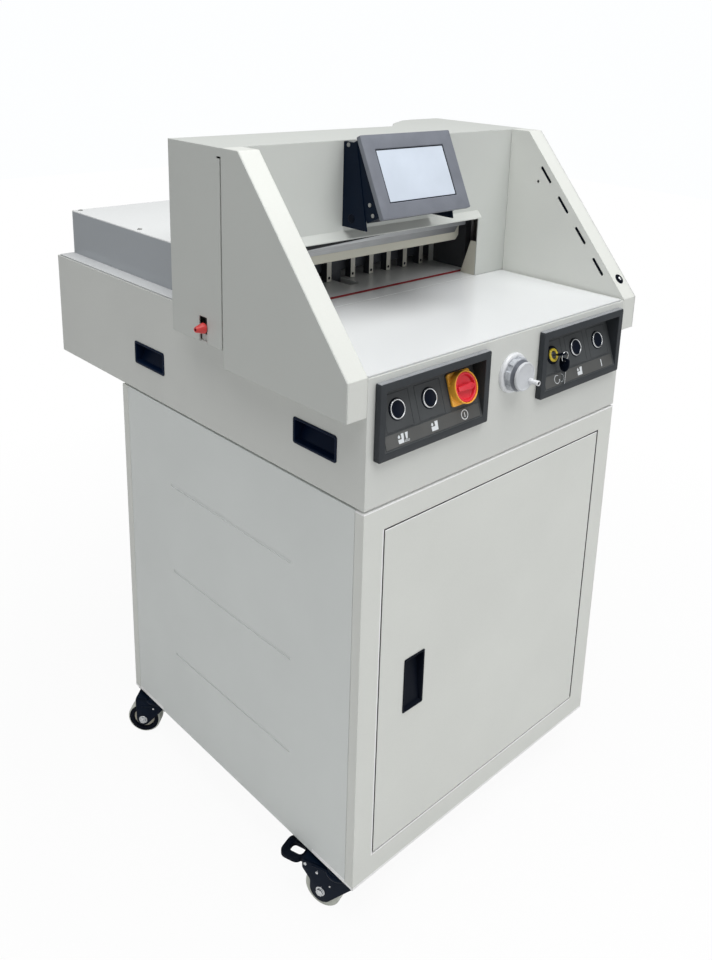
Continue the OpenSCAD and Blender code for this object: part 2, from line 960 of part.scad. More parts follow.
module panel_left() {
    panel(-1, [
        [-control_pitch, control_s, barrel_r], [0, control_s, barrel_r],
        [control_pitch, control_s, switch_pin_r + sheet]
    ]);
}

module panel_right() {
    panel(1, [
        [-control_pitch, control_s, lock_barrel_r], [0, control_s, barrel_r],
        [control_pitch, control_s, barrel_r]
    ]);
}

button_xs = [-panel_x - control_pitch, -panel_x, panel_x, panel_x + control_pitch];

module button_bezels() {
    color(steel) for (x = button_xs) {
        on_face(x, control_s) difference() {
            union() {
                rod_y([0, -bezel_t, 0], bezel_r, bezel_t);
                rod_y([0, -bezel_t, 0], barrel_r, bezel_t + barrel_d + barrel_end);
            }
            rod_y([0, -bezel_t - cut, 0], button_r + button_air, bezel_t + barrel_d + cut);
        }
    }
}

module push_button(index) {
    color([0.08, 0.09, 0.12]) on_face(button_xs[index], control_s) rod_y([0, -cap_proud, 0], button_r, cap_d);
}

module button_a() {
    push_button(0);
}

module button_b() {
    push_button(1);
}

module button_c() {
    push_button(2);
}

module button_d() {
    push_button(3);
}

module switch_base() {
    half = switch_side / 2;
    bore_end = 12;
    color([0.85, 0.64, 0.11]) on_face(-panel_x + control_pitch, control_s) difference() {
        union() {
            block([-half, -switch_plate_t, -half], [half, 0, half]);
            rod_y([0, -switch_plate_t - collar_d, 0], collar_r, collar_d + cut);
            rod_y([0, -cut, 0], switch_pin_r + sheet, bore_end + cut);
        }
        rod_y([0, -switch_plate_t - collar_d - cut, 0], collar_r - collar_wall, collar_d + cut);
        rod_y([0, -switch_plate_t - cut, 0], switch_pin_r + fit, switch_plate_t + bore_end - cut);
    }
}

// main switch knob: a dished disc in the collar with a grip bar across it and an eye for a padlock
module switch_knob() {
    disc_r = collar_r - collar_wall - air;
    sunk = 1.1;
    disc_t = collar_d - air - sunk;
    rim = 2.5;
    dish_d = 5.5;
    pin_end = 8;
    grip_l = 2 * disc_r - rim;
    grip_t = 10;
    grip_proud = 2;
    eye_r = 2.2;
    eye_x = 10;
    back_y = -switch_plate_t - air;
    face = back_y - disc_t;
    color([0.84, 0.14, 0.20]) on_face(-panel_x + control_pitch, control_s) difference() {
        union() {
            difference() {
                rod_y([0, face, 0], disc_r, disc_t);
                rod_y([0, face - cut, 0], disc_r - rim, dish_d + cut);
            }
            rod_y([0, face + dish_d, 0], switch_pin_r, disc_t - dish_d + switch_plate_t + pin_end);
            block(
                [-grip_l / 2, face - grip_proud, -grip_t / 2],
                [grip_l / 2, face + dish_d + cut, grip_t / 2]
            );
        }
        rod_y([eye_x, face - grip_proud - cut, 0], eye_r, grip_proud + dish_d);
    }
}

module lock_ring() {
    front = -lock_base_t - lock_ring_t;
    color([0.90, 0.80, 0.25]) on_face(panel_x - control_pitch, control_s) difference() {
        union() {
            rod_y([0, -lock_base_t, 0], bezel_r, lock_base_t);
            rod_y([0, front, 0], lock_ring_r, lock_ring_t + cut);
            rod_y([0, -cut, 0], lock_barrel_r, barrel_d);
        }
        rod_y([0, front - cut, 0], core_r + fit, barrel_d);
    }
}

key_front = -lock_base_t - lock_ring_t - key_reach;
key_eye_y = key_front + key_hole_in;

module key() {
    core_d = 16;
    core_front = -lock_base_t - lock_ring_t - 0.5;
    color(steel) on_face(panel_x - control_pitch, control_s) difference() {
        union() {
            rod_y([0, core_front, 0], core_r, core_d);
            block([-key_w / 2, key_front, -key_t / 2], [key_w / 2, core_front + cut, key_t / 2]);
        }
        rod_z([0, key_eye_y, -key_w], key_hole_r, 2 * key_w);
    }
}

// key ring through the eye of the key in the lock, with the second key hanging from it
module spare_key() {
    drop = 40;
    ring_x = key_ring_r * cos(drop);
    ring_z = -key_ring_r * sin(drop);
    hole_in = 5;
    bow_z = ring_z - key_ring_r + hole_in;
    at_eye_y = key_eye_y * cos(face_tilt) + control_s * sin(face_tilt);
    at_eye_z = -key_eye_y * sin(face_tilt) + control_s * cos(face_tilt);
    color(black) at_front()
        translate([panel_x - control_pitch, -panel_out + at_eye_y, face_z0 + at_eye_z]) {
        translate([ring_x, 0, ring_z]) rotate([90, 0, 0]) rotate_extrude()
            translate([key_ring_r, 0]) circle(r = key_wire_r, $fn = 24);
        difference() {
            union() {
                block(
                    [ring_x - spare_t / 2, -spare_w / 2, bow_z - spare_bow_h],
                    [ring_x + spare_t / 2, spare_w / 2, bow_z]
                );
                block(
                    [ring_x - spare_t / 4, -spare_blade_w / 2, bow_z - spare_bow_h - spare_blade_h],
                    [ring_x + spare_t / 4, spare_blade_w / 2, bow_z - spare_bow_h + cut]
                );
            }
            rod_x([ring_x - spare_w, 0, bow_z - hole_in], key_wire_r + air, 2 * spare_w);
        }
    }
}

// Hand wheel

module dial_bezel() {
    color(steel) at_front() translate([0, 0, dial_z]) difference() {
        union() {
            rod_y([0, -dial_t, 0], dial_r, dial_t);
            rod_y([0, -cut, 0], encoder_r, encoder_d + cut);
        }
        rod_y([0, -dial_t - cut, 0], wheel_shaft_r + fit, encoder_d);
    }
}

wheel_front = -dial_t - air - wheel_rim_t - wheel_face_t;
handle_x = handle_throw * cos(handle_angle);
handle_z = handle_throw * sin(handle_angle);

module hand_wheel() {
    shaft_in = 18;
    notch_r = 1.6;
    notch_count = 24;
    rim_front = -dial_t - air - wheel_rim_t;
    stud_l = wheel_front + nose - handle_hollow;
    color([0.82, 0.83, 0.84]) at_front() translate([0, 0, dial_z]) difference() {
        union() {
            rod_y([0, rim_front, 0], wheel_rim_r, wheel_rim_t);
            rod_y([0, wheel_front, 0], wheel_face_r, wheel_face_t + cut);
            rod_y([0, rim_front, 0], wheel_shaft_r, shaft_in - rim_front);
            rod_y([handle_x, wheel_front - stud_l, handle_z], stud_r, stud_l + cut);
        }
        for (k = [0 : notch_count - 1]) {
            rotate([0, k * 360 / notch_count, 0])
                rod_y([wheel_rim_r, rim_front - cut, 0], notch_r, wheel_rim_t + cut);
        }
    }
}

module wheel_handle() {
    len = wheel_front + nose - air;
    color(steel) at_front() translate([handle_x, -nose, dial_z + handle_z]) difference() {
        rod_y([0, 0, 0], handle_r, len);
        rod_y([0, -cut, 0], stud_r + fit, len + 2 * cut);
    }
}

// Tower

// outline of a side shield in (y, z), drawn in by a wall thickness
function shield_outline(t) = [
    [t, table_z - shield_drop + t],
    [t, table_z + t * slant - t * sqrt(1 + slant * slant)],
    [(tower_h - t + t * sqrt(1 + slant * slant)) / slant, tower_z1 - t],
    [tower_y - shield_gap - t, tower_z1 - t],
    [tower_y - shield_gap - t, table_z - shield_drop + t]
];

// outline of the rear housing in (x, y), drawn in by a wall thickness
function bump_outline(t) = [
    [bump_x0 + 2 * t, tower_back - 2 * sheet - t], [bump_x0 + 2 * t, tower_back - sheet],
    [bump_x0 + 41 + t, tower_back + 37 - t], [bump_x0 + 104 + t, tower_back + 77 - t],
    [bump_x0 + 140, tower_back + 85 - t], [side_x - t, tower_back + bump_d - t],
    [side_x - t, tower_back - 2 * sheet - t]
];

module tower_cover() {
    lip_x = open_w / 2 - 3;
    lip_z = open_z1 + lip_h;
    slit_z1 = tower_z1 - slit_top;
    tab_gap = 2.5;
    color(paint) at_front() difference() {
        union() {
            difference() {
                union() {
                    block([-side_x, tower_y, col_z0], [side_x, tower_back, tower_z1]);
                    translate([0, 0, bump_z0]) linear_extrude(tower_z1 - bump_z0) polygon(bump_outline(0));
                }
                block(
                    [-skin_x, tower_y + sheet, col_z0 + sheet],
                    [skin_x, tower_back - sheet, tower_z1 - sheet]
                );
                translate([0, 0, bump_z0 + sheet]) linear_extrude(tower_z1 - bump_z0 - 2 * sheet)
                    polygon(bump_outline(sheet));
                block(
                    [-half_w - shield_gap, tower_y - cut, col_z0 - cut],
                    [half_w + shield_gap, tower_back + cut, table_z + shield_gap]
                );
                block([-open_w / 2, tower_y - cut, table_z], [open_w / 2, tower_y + sheet + cut, open_z1]);
                block(
                    [-gauge_open_w / 2, tower_back - sheet - cut, table_z],
                    [gauge_open_w / 2, tower_back + cut, table_z + gauge_open_h]
                );
                block(
                    [-side_x - cut, lever_y - slot_front, col_z0 - cut],
                    [-skin_x + cut, lever_y + slot_back, lever_z + slot_high + knob_tip_r]
                );
            }
            along_x(-lip_x, 2 * lip_x, [
                [tower_y + sheet, lip_z], [tower_y, lip_z], [tower_y - lip_out, open_z1 + lip_t],
                [tower_y - lip_out, open_z1], [tower_y - lip_out + lip_t, open_z1],
                [tower_y + sheet, lip_z - lip_t]
            ]);
            for (x = [-side_x, skin_x]) {
                along_x(x, sheet, shield_outline(0));
                block([x, tower_y - sheet, slit_z1], [x + sheet, tower_y + sheet, tower_z1]);
            }
            block(
                [-skin_x + tab_gap, lever_y - slot_front + sheet, col_z0],
                [-skin_x + tab_gap + sheet, lever_y + slot_back, lever_z - slot_low + knob_tip_r]
            );
        }
        for (x = [-side_x - cut, skin_x - cut]) {
            block([x, tower_y - shield_gap, 0], [x + sheet + 2 * cut, tower_y + slit_w, slit_z1]);
            block([x, tower_y, slit_z1 - slit_w], [x + sheet + 2 * cut, tower_y + hook_w, slit_z1]);
        }
    }
}

// place on the inner face of a shield: t up the slant, d inward from the slanted edge
module on_shield(t, d) {
    along = [cos(slant_angle), sin(slant_angle)];
    translate([0, along[0] * t + along[1] * d, table_z + along[1] * t - along[0] * d])
        rotate([slant_angle, 0, 0]) children();
}

// round-ended slot through a shield's inner wall, between two x values
module barrier_slot(x0, len) {
    half = (slot_len - slot_w) / 2;
    block([x0, -half, -slot_w / 2], [x0 + len, half, slot_w / 2]);
    for (y = [-half, half]) {
        rod_x([x0, y, 0], slot_w / 2, len);
    }
}

module shield(side) {
    inner = -half_w - shield_gap;
    depth = skin_x - half_w - shield_gap;
    push_wide = push_r + air;
    color(paint) at_front() mirror([side > 0 ? 1 : 0, 0, 0]) difference() {
        along_x(-skin_x, depth, shield_outline(0));
        along_x(-skin_x - cut, depth - sheet + cut, shield_outline(sheet));
        for (k = [0 : 3]) {
            on_shield(slot_first + k * slot_pitch, slot_in) barrier_slot(inner - 2 * sheet, 4 * sheet);
        }
        on_shield(slot_first + 3 * slot_pitch, sight_in) rod_x([inner - 2 * sheet, 0, 0], sight_r, 4 * sheet);
        if (side > 0) {
            on_shield(push_t, 0) rod_z([-half_w - shield_t / 2, 0, -2 * sheet], push_wide, 4 * sheet);
        }
    }
}

module shield_left() {
    shield(-1);
}

module shield_right() {
    shield(1);
}

module light_bars() {
    inner = -half_w - shield_gap - sheet;
    over = 10;
    len = 3 * slot_pitch + slot_len + 2 * over;
    color(black) for (side = [0, 1]) {
        at_front() mirror([side, 0, 0]) on_shield(slot_first - slot_len / 2 - over, slot_in)
            block([inner - light_bar_t, 0, -light_bar_w / 2], [inner, len, light_bar_w / 2]);
    }
}

module shield_button() {
    x = half_w + shield_t / 2;
    push_len = 11;
    color(black) at_front() on_shield(push_t, 0) union() {
        rod_z([x, 0, push_proud - push_len], push_r, push_len);
        rod_z([x, 0, -sheet - air - push_flange_t], push_flange_r, push_flange_t);
    }
}

module opening_guards() {
    color(cream) for (side = [-1, 1]) {
        foot_y = side < 0 ? carrier_y - guard_air : guard_foot_y;
        at_front() along_x(side < 0 ? -open_w / 2 - sheet : open_w / 2, sheet, [
            [tower_y + sheet, table_z],
            [foot_y, table_z],
            [tower_y + sheet + guard_top, guard_z1],
            [tower_y + sheet, guard_z1]
        ]);
    }
}

// Cutting mechanism

// slanted slot for a guide roller, from the roller's raised place to its lowered place
module roller_slot(x) {
    len = sqrt(knife_drop * knife_drop + knife_shift * knife_shift);
    lean = atan2(knife_shift, knife_drop);
    r = roller_r + air;
    translate([x, guide_y - cut, roller_z]) rotate([0, -lean, 0]) {
        block([-r, 0, -len], [r, guide_t + 2 * cut, 0]);
        for (z = [-len, 0]) {
            rod_y([0, 0, z], r, guide_t + 2 * cut);
        }
    }
}

module machine_frame() {
    guide_z1 = frame_z1;
    foot_x1 = knife_spindle_x + nut_w / 2;
    color(dark) at_front() difference() {
        union() {
            for (x = [-plate_x - frame_t, plate_x]) {
                block([x, frame_y, table_z], [x + frame_t, tower_back - sheet - air, frame_z1]);
                block([x, guide_y, link_z0], [x + frame_t, frame_y + cut, frame_z1]);
            }
            block(
                [-plate_x - cut, beam_y, beam_z0],
                [plate_x + cut, tower_back - sheet - air, beam_z0 + beam_t]
            );
            block([-guide_x, guide_y, guide_z0], [guide_x, guide_y + guide_t, guide_z1]);
            block(
                [plate_x + frame_t - cut, frame_y, foot_z],
                [foot_x1, knife_spindle_y + nut_w / 2, foot_z + foot_t]
            );
        }
        for (x = roller_xs) {
            roller_slot(x);
        }
        rod_z([0, clamp_spindle_y, beam_z0 - cut], clamp_spindle_r + fit, beam_t + 2 * cut);
        rod_z([knife_spindle_x, knife_spindle_y, foot_z - cut], knife_spindle_r + fit, foot_t + 2 * cut);
    }
}

module knife_carrier() {
    z1 = carrier_z0 + carrier_h;
    color(dark) at_front() union() {
        block([knife_x0, carrier_y, carrier_z0], [knife_x0 + knife_l, blade_y, z1]);
        block(
            [knife_x0 + knife_l - cut, carrier_y, arm_z - arm_h / 2],
            [arm_x + pin_r, blade_y, arm_z + arm_h / 2]
        );
        rod_y([arm_x, blade_y - cut, arm_z], pin_r, nut_plate_t + cut + 1);
        for (x = roller_xs) {
            rod_y([x, guide_y + air, roller_z], roller_r, carrier_y - guide_y - air + cut);
        }
    }
}

module blade() {
    color(steel) at_front() along_x(knife_x0, knife_l, [
        [blade_y, edge_z + bevel_h], [edge_y, edge_z], [edge_y, edge_z + blade_h], [blade_y, edge_z + blade_h]
    ]);
}

module knife_spindle() {
    color(steel) at_front()
        rod_z([knife_spindle_x, knife_spindle_y, foot_z], knife_spindle_r, gearbox_z0 + bore_d - 1 - foot_z);
}

// nut on the knife spindle: its cross slot takes the knife's pin, which also travels sideways
module knife_nut() {
    y0 = nut_plate_y;
    y1 = y0 + nut_plate_t;
    slot_r = pin_r + air;
    x0 = arm_x - pin_r - nut_end;
    x1 = arm_x + knife_shift + pin_r + nut_end;
    block_y1 = y1 + nut_d;
    color(steel) at_front() difference() {
        union() {
            block([x0, y0, arm_z - nut_plate_h / 2], [x1, y1, arm_z + nut_plate_h / 2]);
            block(
                [knife_spindle_x - nut_w / 2, y1 - cut, arm_z - nut_h / 2],
                [knife_spindle_x + nut_w / 2, block_y1, arm_z + nut_h / 2]
            );
        }
        block([arm_x, y0 - cut, arm_z - slot_r], [arm_x + knife_shift, y1, arm_z + slot_r]);
        for (x = [arm_x, arm_x + knife_shift]) {
            rod_y([x, y0 - cut, arm_z], slot_r, nut_plate_t + cut);
        }
        rod_z(
            [knife_spindle_x, knife_spindle_y, arm_z - nut_plate_h],
            knife_spindle_r + fit, 2 * nut_plate_h
        );
    }
}

module knife_motor() {
    z1 = gearbox_z0 + gearbox_h;
    box_x0 = plate_x + frame_t + air;
    box_x1 = skin_x - 10;
    color(dark) at_front() difference() {
        union() {
            block([box_x0, frame_y, gearbox_z0], [box_x1, tower_back, z1]);
            block([knife_motor_x - 30, tower_back - 40, frame_z1], [box_x1, knife_motor_y + 20, z1]);
            rod_z([knife_motor_x, knife_motor_y, z1 - knife_motor_h], knife_motor_r, knife_motor_h);
        }
        rod_z([knife_spindle_x, knife_spindle_y, gearbox_z0 - cut], knife_spindle_r + fit, bore_d + cut);
    }
}

module clamp() {
    y1 = clamp_y + clamp_d;
    end_run = 8;
    half = clamp_w / 2;
    color(cream) at_front() difference() {
        union() {
            translate([0, y1, 0]) rotate([90, 0, 0]) linear_extrude(clamp_d) polygon([
                [-half, clamp_z + clamp_h], [-half, clamp_z + end_run], [-half + end_run, clamp_z],
                [half - end_run, clamp_z], [half, clamp_z + end_run], [half, clamp_z + clamp_h]
            ]);
            block([-web_w / 2, y1 - web_d, clamp_z + clamp_h - cut], [web_w / 2, y1, lug_z + nut_lug_h]);
            block([-lug_w / 2, y1 - cut, lug_z], [lug_w / 2, clamp_spindle_y + lug_reach, lug_z + nut_lug_h]);
        }
        rod_z([0, clamp_spindle_y, lug_z - cut], clamp_spindle_r + fit, nut_lug_h + 2 * cut);
    }
}

module clamp_spindle() {
    color(steel) at_front()
        rod_z(
            [0, clamp_spindle_y, clamp_spindle_z0],
            clamp_spindle_r, beam_z0 + beam_t + bore_d - 1 - clamp_spindle_z0
        );
}

// two geared motors of one type: one stands on the frame's beam, one lies behind the gauge spindle
module small_motors() {
    half = motor_side / 2;
    beam_z1 = beam_z0 + beam_t;
    color(dark) at_front() {
        difference() {
            block(
                [-half, clamp_spindle_y - half, beam_z1],
                [half, clamp_spindle_y + half, beam_z1 + motor_len]
            );
            rod_z([0, clamp_spindle_y, beam_z1 - cut], clamp_spindle_r + fit, bore_d + cut);
        }
        difference() {
            block(
                [-half, gauge_motor_y, gauge_axis_z - half],
                [half, gauge_motor_y + motor_len, gauge_axis_z + half]
            );
            rod_y([0, gauge_motor_y - cut, gauge_axis_z], gauge_spindle_r + fit, bore_d + cut);
        }
    }
}

module back_gauge() {
    bar_y = gauge_y + post_d;
    foot_half = gauge_slot_w / 2 - gauge_air;
    foot_z0 = gauge_axis_z + gauge_nut_h / 2;
    post_z = table_z + gauge_air;
    color(dark) at_front() difference() {
        union() {
            for (p = post_pairs, x = [-p, p]) {
                block([x - post_w / 2, gauge_y, post_z], [x + post_w / 2, bar_y + cut, post_z + post_h]);
            }
            block([-bar_w / 2, bar_y, bar_z0], [bar_w / 2, bar_y + bar_d, bar_z0 + bar_h]);
            block([-foot_half, bar_y, foot_z0 - cut], [foot_half, bar_y + gauge_foot_d, bar_z0 + bar_h]);
            block(
                [-gauge_nut_w / 2, bar_y, gauge_axis_z - gauge_nut_h / 2],
                [gauge_nut_w / 2, bar_y + gauge_foot_d, foot_z0]
            );
        }
        rod_y([0, bar_y - cut, gauge_axis_z], gauge_spindle_r + fit, gauge_foot_d + 2 * cut);
    }
}

module gauge_spindle() {
    color(steel) at_front()
        rod_y([0, bearing_y0, gauge_axis_z], gauge_spindle_r, gauge_motor_y + bore_d - 1 - bearing_y0);
}

module cutting_stick() {
    color([0.64, 0.09, 0.12]) at_front() block(
        [stick_x0, stick_y - stick_w / 2, table_z - stick_h - stick_air],
        [stick_x1, stick_y + stick_w / 2, table_z - stick_air]
    );
}

// lever that lifts the cutting stick: knob outside the left column, tip under the stick's end
module stick_lever() {
    half = lever_bar_t / 2;
    bar_y = lever_slot_w / 2 - 2;
    tip_z = table_z - stick_h - stick_air - 0.3;
    knob_x = -side_x - 1;
    rod_x0 = lever_pivot_x - 12;
    color([0.85, 0.23, 0.23]) at_front() union() {
        translate([0, lever_y + half, 0]) rotate([90, 0, 0]) linear_extrude(lever_bar_t) polygon([
            [lever_tip_x, tip_z], [lever_tip_x, tip_z - half], [lever_pivot_x + half, lever_pivot_z - half],
            [lever_pivot_x - half, lever_pivot_z - half], [rod_x0 - half, lever_z - half],
            [rod_x0 - half, lever_z + half], [rod_x0 + half, lever_z + half],
            [lever_pivot_x + half, lever_pivot_z + half], [lever_tip_x - 2 * half, tip_z]
        ]);
        block([lever_tip_x - 2 * half, stick_y - half, tip_z - half], [lever_tip_x, lever_y + half, tip_z]);
        rod_y([lever_pivot_x, lever_y - bar_y - ear_t, lever_pivot_z], lever_pin_r, 2 * (bar_y + ear_t));
        rod_x([knob_x - 2, lever_y, lever_z], half, rod_x0 - knob_x + 2);
        translate([knob_x, lever_y, lever_z]) rotate([0, -90, 0]) difference() {
            cylinder(r1 = knob_r, r2 = knob_tip_r, h = knob_l);
            translate([0, 0, knob_l - 3]) cylinder(r = knob_tip_r - 1.2, h = 4);
        }
    }
}

module rear_cover() {
    half = cover_w / 2;
    y1 = base_d - 7;
    color(paint) at_front() difference() {
        block([-half, tower_back, table_z], [half, y1, table_z + cover_h]);
        block(
            [-half + sheet, tower_back - cut, table_z - cut],
            [half - sheet, y1 - sheet, table_z + cover_h - sheet]
        );
    }
}

// Console

// place on the console: the bezel's front face lies in the local XZ plane and looks to -Y
module on_console() {
    at_front() translate([console_x, console_y, console_z]) rotate([-console_tilt, 0, 0]) children();
}

module console_bracket() {
    half = console_w / 2;
    box_x = half - bracket_t / 2;
    box_z = console_h / 2 - housing_in;
    color(black) difference() {
        union() {
            on_console() block([-box_x, bezel_d, -box_z], [box_x, bezel_d + housing_d, box_z]);
            at_front() for (x = [console_x - half, console_x + half - bracket_t]) {
                along_x(x, bracket_t, [
                    [tower_y, bracket_z0], [tower_y, bracket_z1], [bracket_top_y, bracket_z1],
                    [bracket_foot_y, bracket_z0]
                ]);
            }
            at_front() for (x = [console_x - half, console_x + half - housing_in - bracket_t]) {
                block(
                    [x, tower_y - bracket_t, bracket_z0],
                    [x + housing_in + bracket_t, tower_y, bracket_z1]
                );
            }
        }
        on_console() block(
            [-box_x + bracket_t, bezel_d - cut, -box_z + bracket_t],
            [box_x - bracket_t, bezel_d + housing_d - bracket_t, box_z - bracket_t]
        );
        on_console() block([-half - cut, -bezel_d, -console_h], [half + cut, bezel_d, console_h]);
    }
}

module console_bezel() {
    half = console_w / 2;
    lap = 4;
    color([0.42, 0.42, 0.45]) on_console() difference() {
        block([-half, 0, -console_h / 2], [half, bezel_d, console_h / 2]);
        block([-screen_w / 2, -cut, -screen_h / 2], [screen_w / 2, screen_in + screen_t, screen_h / 2]);
        block(
            [-screen_w / 2 + lap, -cut, -screen_h / 2 + lap],
            [screen_w / 2 - lap, bezel_d + cut, screen_h / 2 - lap]
        );
    }
}

module screen() {
    color([0.86, 0.89, 0.93]) on_console() block(
        [-screen_w / 2 + seam / 2, screen_in, -screen_h / 2 + seam / 2],
        [screen_w / 2 - seam / 2, screen_in + screen_t, screen_h / 2 - seam / 2]
    );
}

cabinet_frame();
cabinet_side_left();
cabinet_side_right();
cabinet_back();
cabinet_floor();
door();
door_pull();
caster_plates();
fork_fl();
fork_fr();
fork_rl();
fork_rr();
wheel_fl();
wheel_fr();
wheel_rl();
wheel_rr();
pedal_fl();
pedal_fr();
base_shell();
grip_cups();
table();
power_unit();
panel_left();
panel_right();
button_bezels();
button_a();
button_b();
button_c();
button_d();
switch_base();
switch_knob();
lock_ring();
key();
spare_key();
dial_bezel();
hand_wheel();
wheel_handle();
tower_cover();
shield_left();
shield_right();
light_bars();
opening_guards();
shield_button();
machine_frame();
knife_carrier();
blade();
knife_spindle();
knife_nut();
knife_motor();
clamp();
clamp_spindle();
small_motors();
back_gauge();
gauge_spindle();
cutting_stick();
stick_lever();
rear_cover();
console_bracket();
console_bezel();
screen();
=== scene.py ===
import math
import bmesh
import bpy
import numpy as np
from mathutils import Matrix, Vector


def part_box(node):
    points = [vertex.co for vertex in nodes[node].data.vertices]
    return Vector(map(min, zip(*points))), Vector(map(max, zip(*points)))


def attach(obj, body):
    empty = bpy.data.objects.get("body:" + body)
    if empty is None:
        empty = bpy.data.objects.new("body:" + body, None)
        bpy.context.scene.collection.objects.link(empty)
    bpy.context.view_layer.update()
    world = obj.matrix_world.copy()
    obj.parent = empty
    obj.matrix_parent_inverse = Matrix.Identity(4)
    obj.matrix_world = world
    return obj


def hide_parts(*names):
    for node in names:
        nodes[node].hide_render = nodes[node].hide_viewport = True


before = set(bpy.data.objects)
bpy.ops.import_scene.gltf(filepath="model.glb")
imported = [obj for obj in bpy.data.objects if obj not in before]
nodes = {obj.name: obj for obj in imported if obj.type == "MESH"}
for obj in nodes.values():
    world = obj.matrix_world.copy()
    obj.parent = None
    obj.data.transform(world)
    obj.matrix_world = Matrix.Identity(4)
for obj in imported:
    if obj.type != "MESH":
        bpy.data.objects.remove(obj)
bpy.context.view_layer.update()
mm = 0.001
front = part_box("base_shell")[0].y / mm          # the base's front face: depths below count from it

# camera, at the height of someone standing in front of the left corner
cameraSet = {"place": (-1.0697, -1.2069, 1.3257), "turn": -45.29, "rise": 15.87, "roll": 2.17,
             "lens": 34.96, "shift": (-0.0381, -0.1847)}


def makeCamera(c):
    # view axes from the turn and the rise, then rolled about the line of sight
    turn, rise, roll = np.radians([c["turn"], c["rise"], c["roll"]])
    back = np.array([np.sin(turn) * np.cos(rise), -np.cos(turn) * np.cos(rise), np.sin(rise)])
    right = np.cross(-back, [0, 0, 1])
    right /= np.linalg.norm(right)
    up = np.cross(back, right)
    axes = [np.cos(roll) * right + np.sin(roll) * up, np.cos(roll) * up - np.sin(roll) * right, back]
    data = bpy.data.cameras.new("studioCamera")
    data.lens, data.sensor_width = c["lens"], 36.0
    data.shift_x, data.shift_y = c["shift"]
    camera = bpy.data.objects.new("studioCamera", data)
    camera.matrix_world = Matrix(np.vstack([np.c_[np.array(axes).T, c["place"]], [0, 0, 0, 1]]).tolist())
    bpy.context.scene.collection.objects.link(camera)
    bpy.context.scene.camera = camera


makeCamera(cameraSet)


class Sock:
    # a node's output in arithmetic: each operator adds a Math node, and add() makes any other node
    def __init__(self, tree, out):
        self.tree, self.out = tree, out

    def add(self, kind, settings={}, links={}, out=0):
        node = self.tree.nodes.new("ShaderNode" + kind)
        for key, value in settings.items():
            setattr(node, key, value)
        for key, value in links.items():
            plug(self.tree, node.inputs[key], value)
        return Sock(self.tree, node.outputs[out])

    def math(self, operation, *terms):
        return self.add("Math", {"operation": operation}, dict(enumerate(terms)))

    def __add__(self, other):
        return self.math("ADD", self, other)

    __radd__ = __add__

    def __sub__(self, other):
        return self.math("SUBTRACT", self, other)

    def __rsub__(self, other):
        return self.math("SUBTRACT", other, self)

    def __mul__(self, other):
        return self.math("MULTIPLY", self, other)

    __rmul__ = __mul__

    def clip(self, low, high):                   # 0 at low, 1 at high
        return self.add("MapRange", {"clamp": True}, {0: self, 1: low, 2: high})

    def past(self, start, blend=0.0005):         # 0 up to start, 1 a short blend beyond it
        return self.clip(start, start + blend)

    def over(self, first, second):               # first colour where this is 0, second where it is 1
        return self.add("Mix", {"data_type": "RGBA"}, {0: self, 6: first, 7: second}, out=2)


def plug(tree, socket, value):
    if isinstance(value, Sock):
        tree.links.new(value.out, socket)
    else:
        socket.default_value = value


def tone(r, g, b, k=1.0):
    # screen colour of 0 to 255 as the shader's linear colour, times k
    c = np.array([r, g, b]) / 255
    c = np.where(c <= 0.04045, c / 12.92, ((c + 0.055) / 1.055) ** 2.4) * k
    return (*np.clip(c, 0, 1), 1.0)


def newFinish(name):
    material = bpy.data.materials.new(name)
    material.use_nodes = True
    tree = material.node_tree
    return material, tree.nodes["Principled BSDF"], Sock(tree, tree.nodes.new("ShaderNodeTexCoord").outputs["Object"])


def feed(shader, inputs):
    for key, value in inputs.items():
        plug(shader.id_data, shader.inputs[key], value)


def edgeOf(at, radius, spread=0.3):
    # rounded edge: the normal of a small fillet, and a mask of how far it leans from the flat face
    soft = at.add("Bevel", {"samples": 4}, {"Radius": radius})
    flat = at.add("NewGeometry", out="True Normal")
    lean = at.add("VectorMath", {"operation": "DOT_PRODUCT"}, {0: soft, 1: flat}, out="Value")
    return soft, (1 - lean).clip(0.01, spread)


def noise(at, scale, detail=2.0, stretch=None):
    vector = at
    if stretch:
        vector = at.add("VectorMath", {"operation": "MULTIPLY"}, {0: at, 1: stretch})
    return at.add("TexNoise", {}, {"Vector": vector, "Scale": scale, "Detail": detail})


def powderCoat(name, s):
    # sprayed coat: slow clouds and fine flecks of colour, orange peel in the normal, paler on the edges, which is a
    # painted highlight
    material, shader, at = newFinish(name)
    soft, edge = edgeOf(at, s["edge"], s.get("spread", 0.3))
    cloud, fleck = noise(at, 5.0, 3.0), noise(at, 700.0)
    mix = (cloud * 0.65 + fleck * 0.35).clip(0.34, 0.66)
    colour = mix.over(tone(*s["colour"], 1 - s["vary"]), tone(*s["colour"], 1 + s["vary"]))
    # painted highlight: the rounded edges get a paler copy of the colour
    colour = (edge * s["bright"]).over(colour, tone(*s["colour"], s.get("lift", 1.16)))
    bump = at.add("Bump", {}, {"Strength": s["peel"], "Distance": 0.0002, "Height": noise(at, 420.0), "Normal": soft})
    feed(shader, {"Base Color": colour, "Roughness": (fleck - 0.5) * 0.14 + s["rough"], "Normal": bump,
                  "Specular IOR Level": s.get("gloss", 0.5)})
    return material


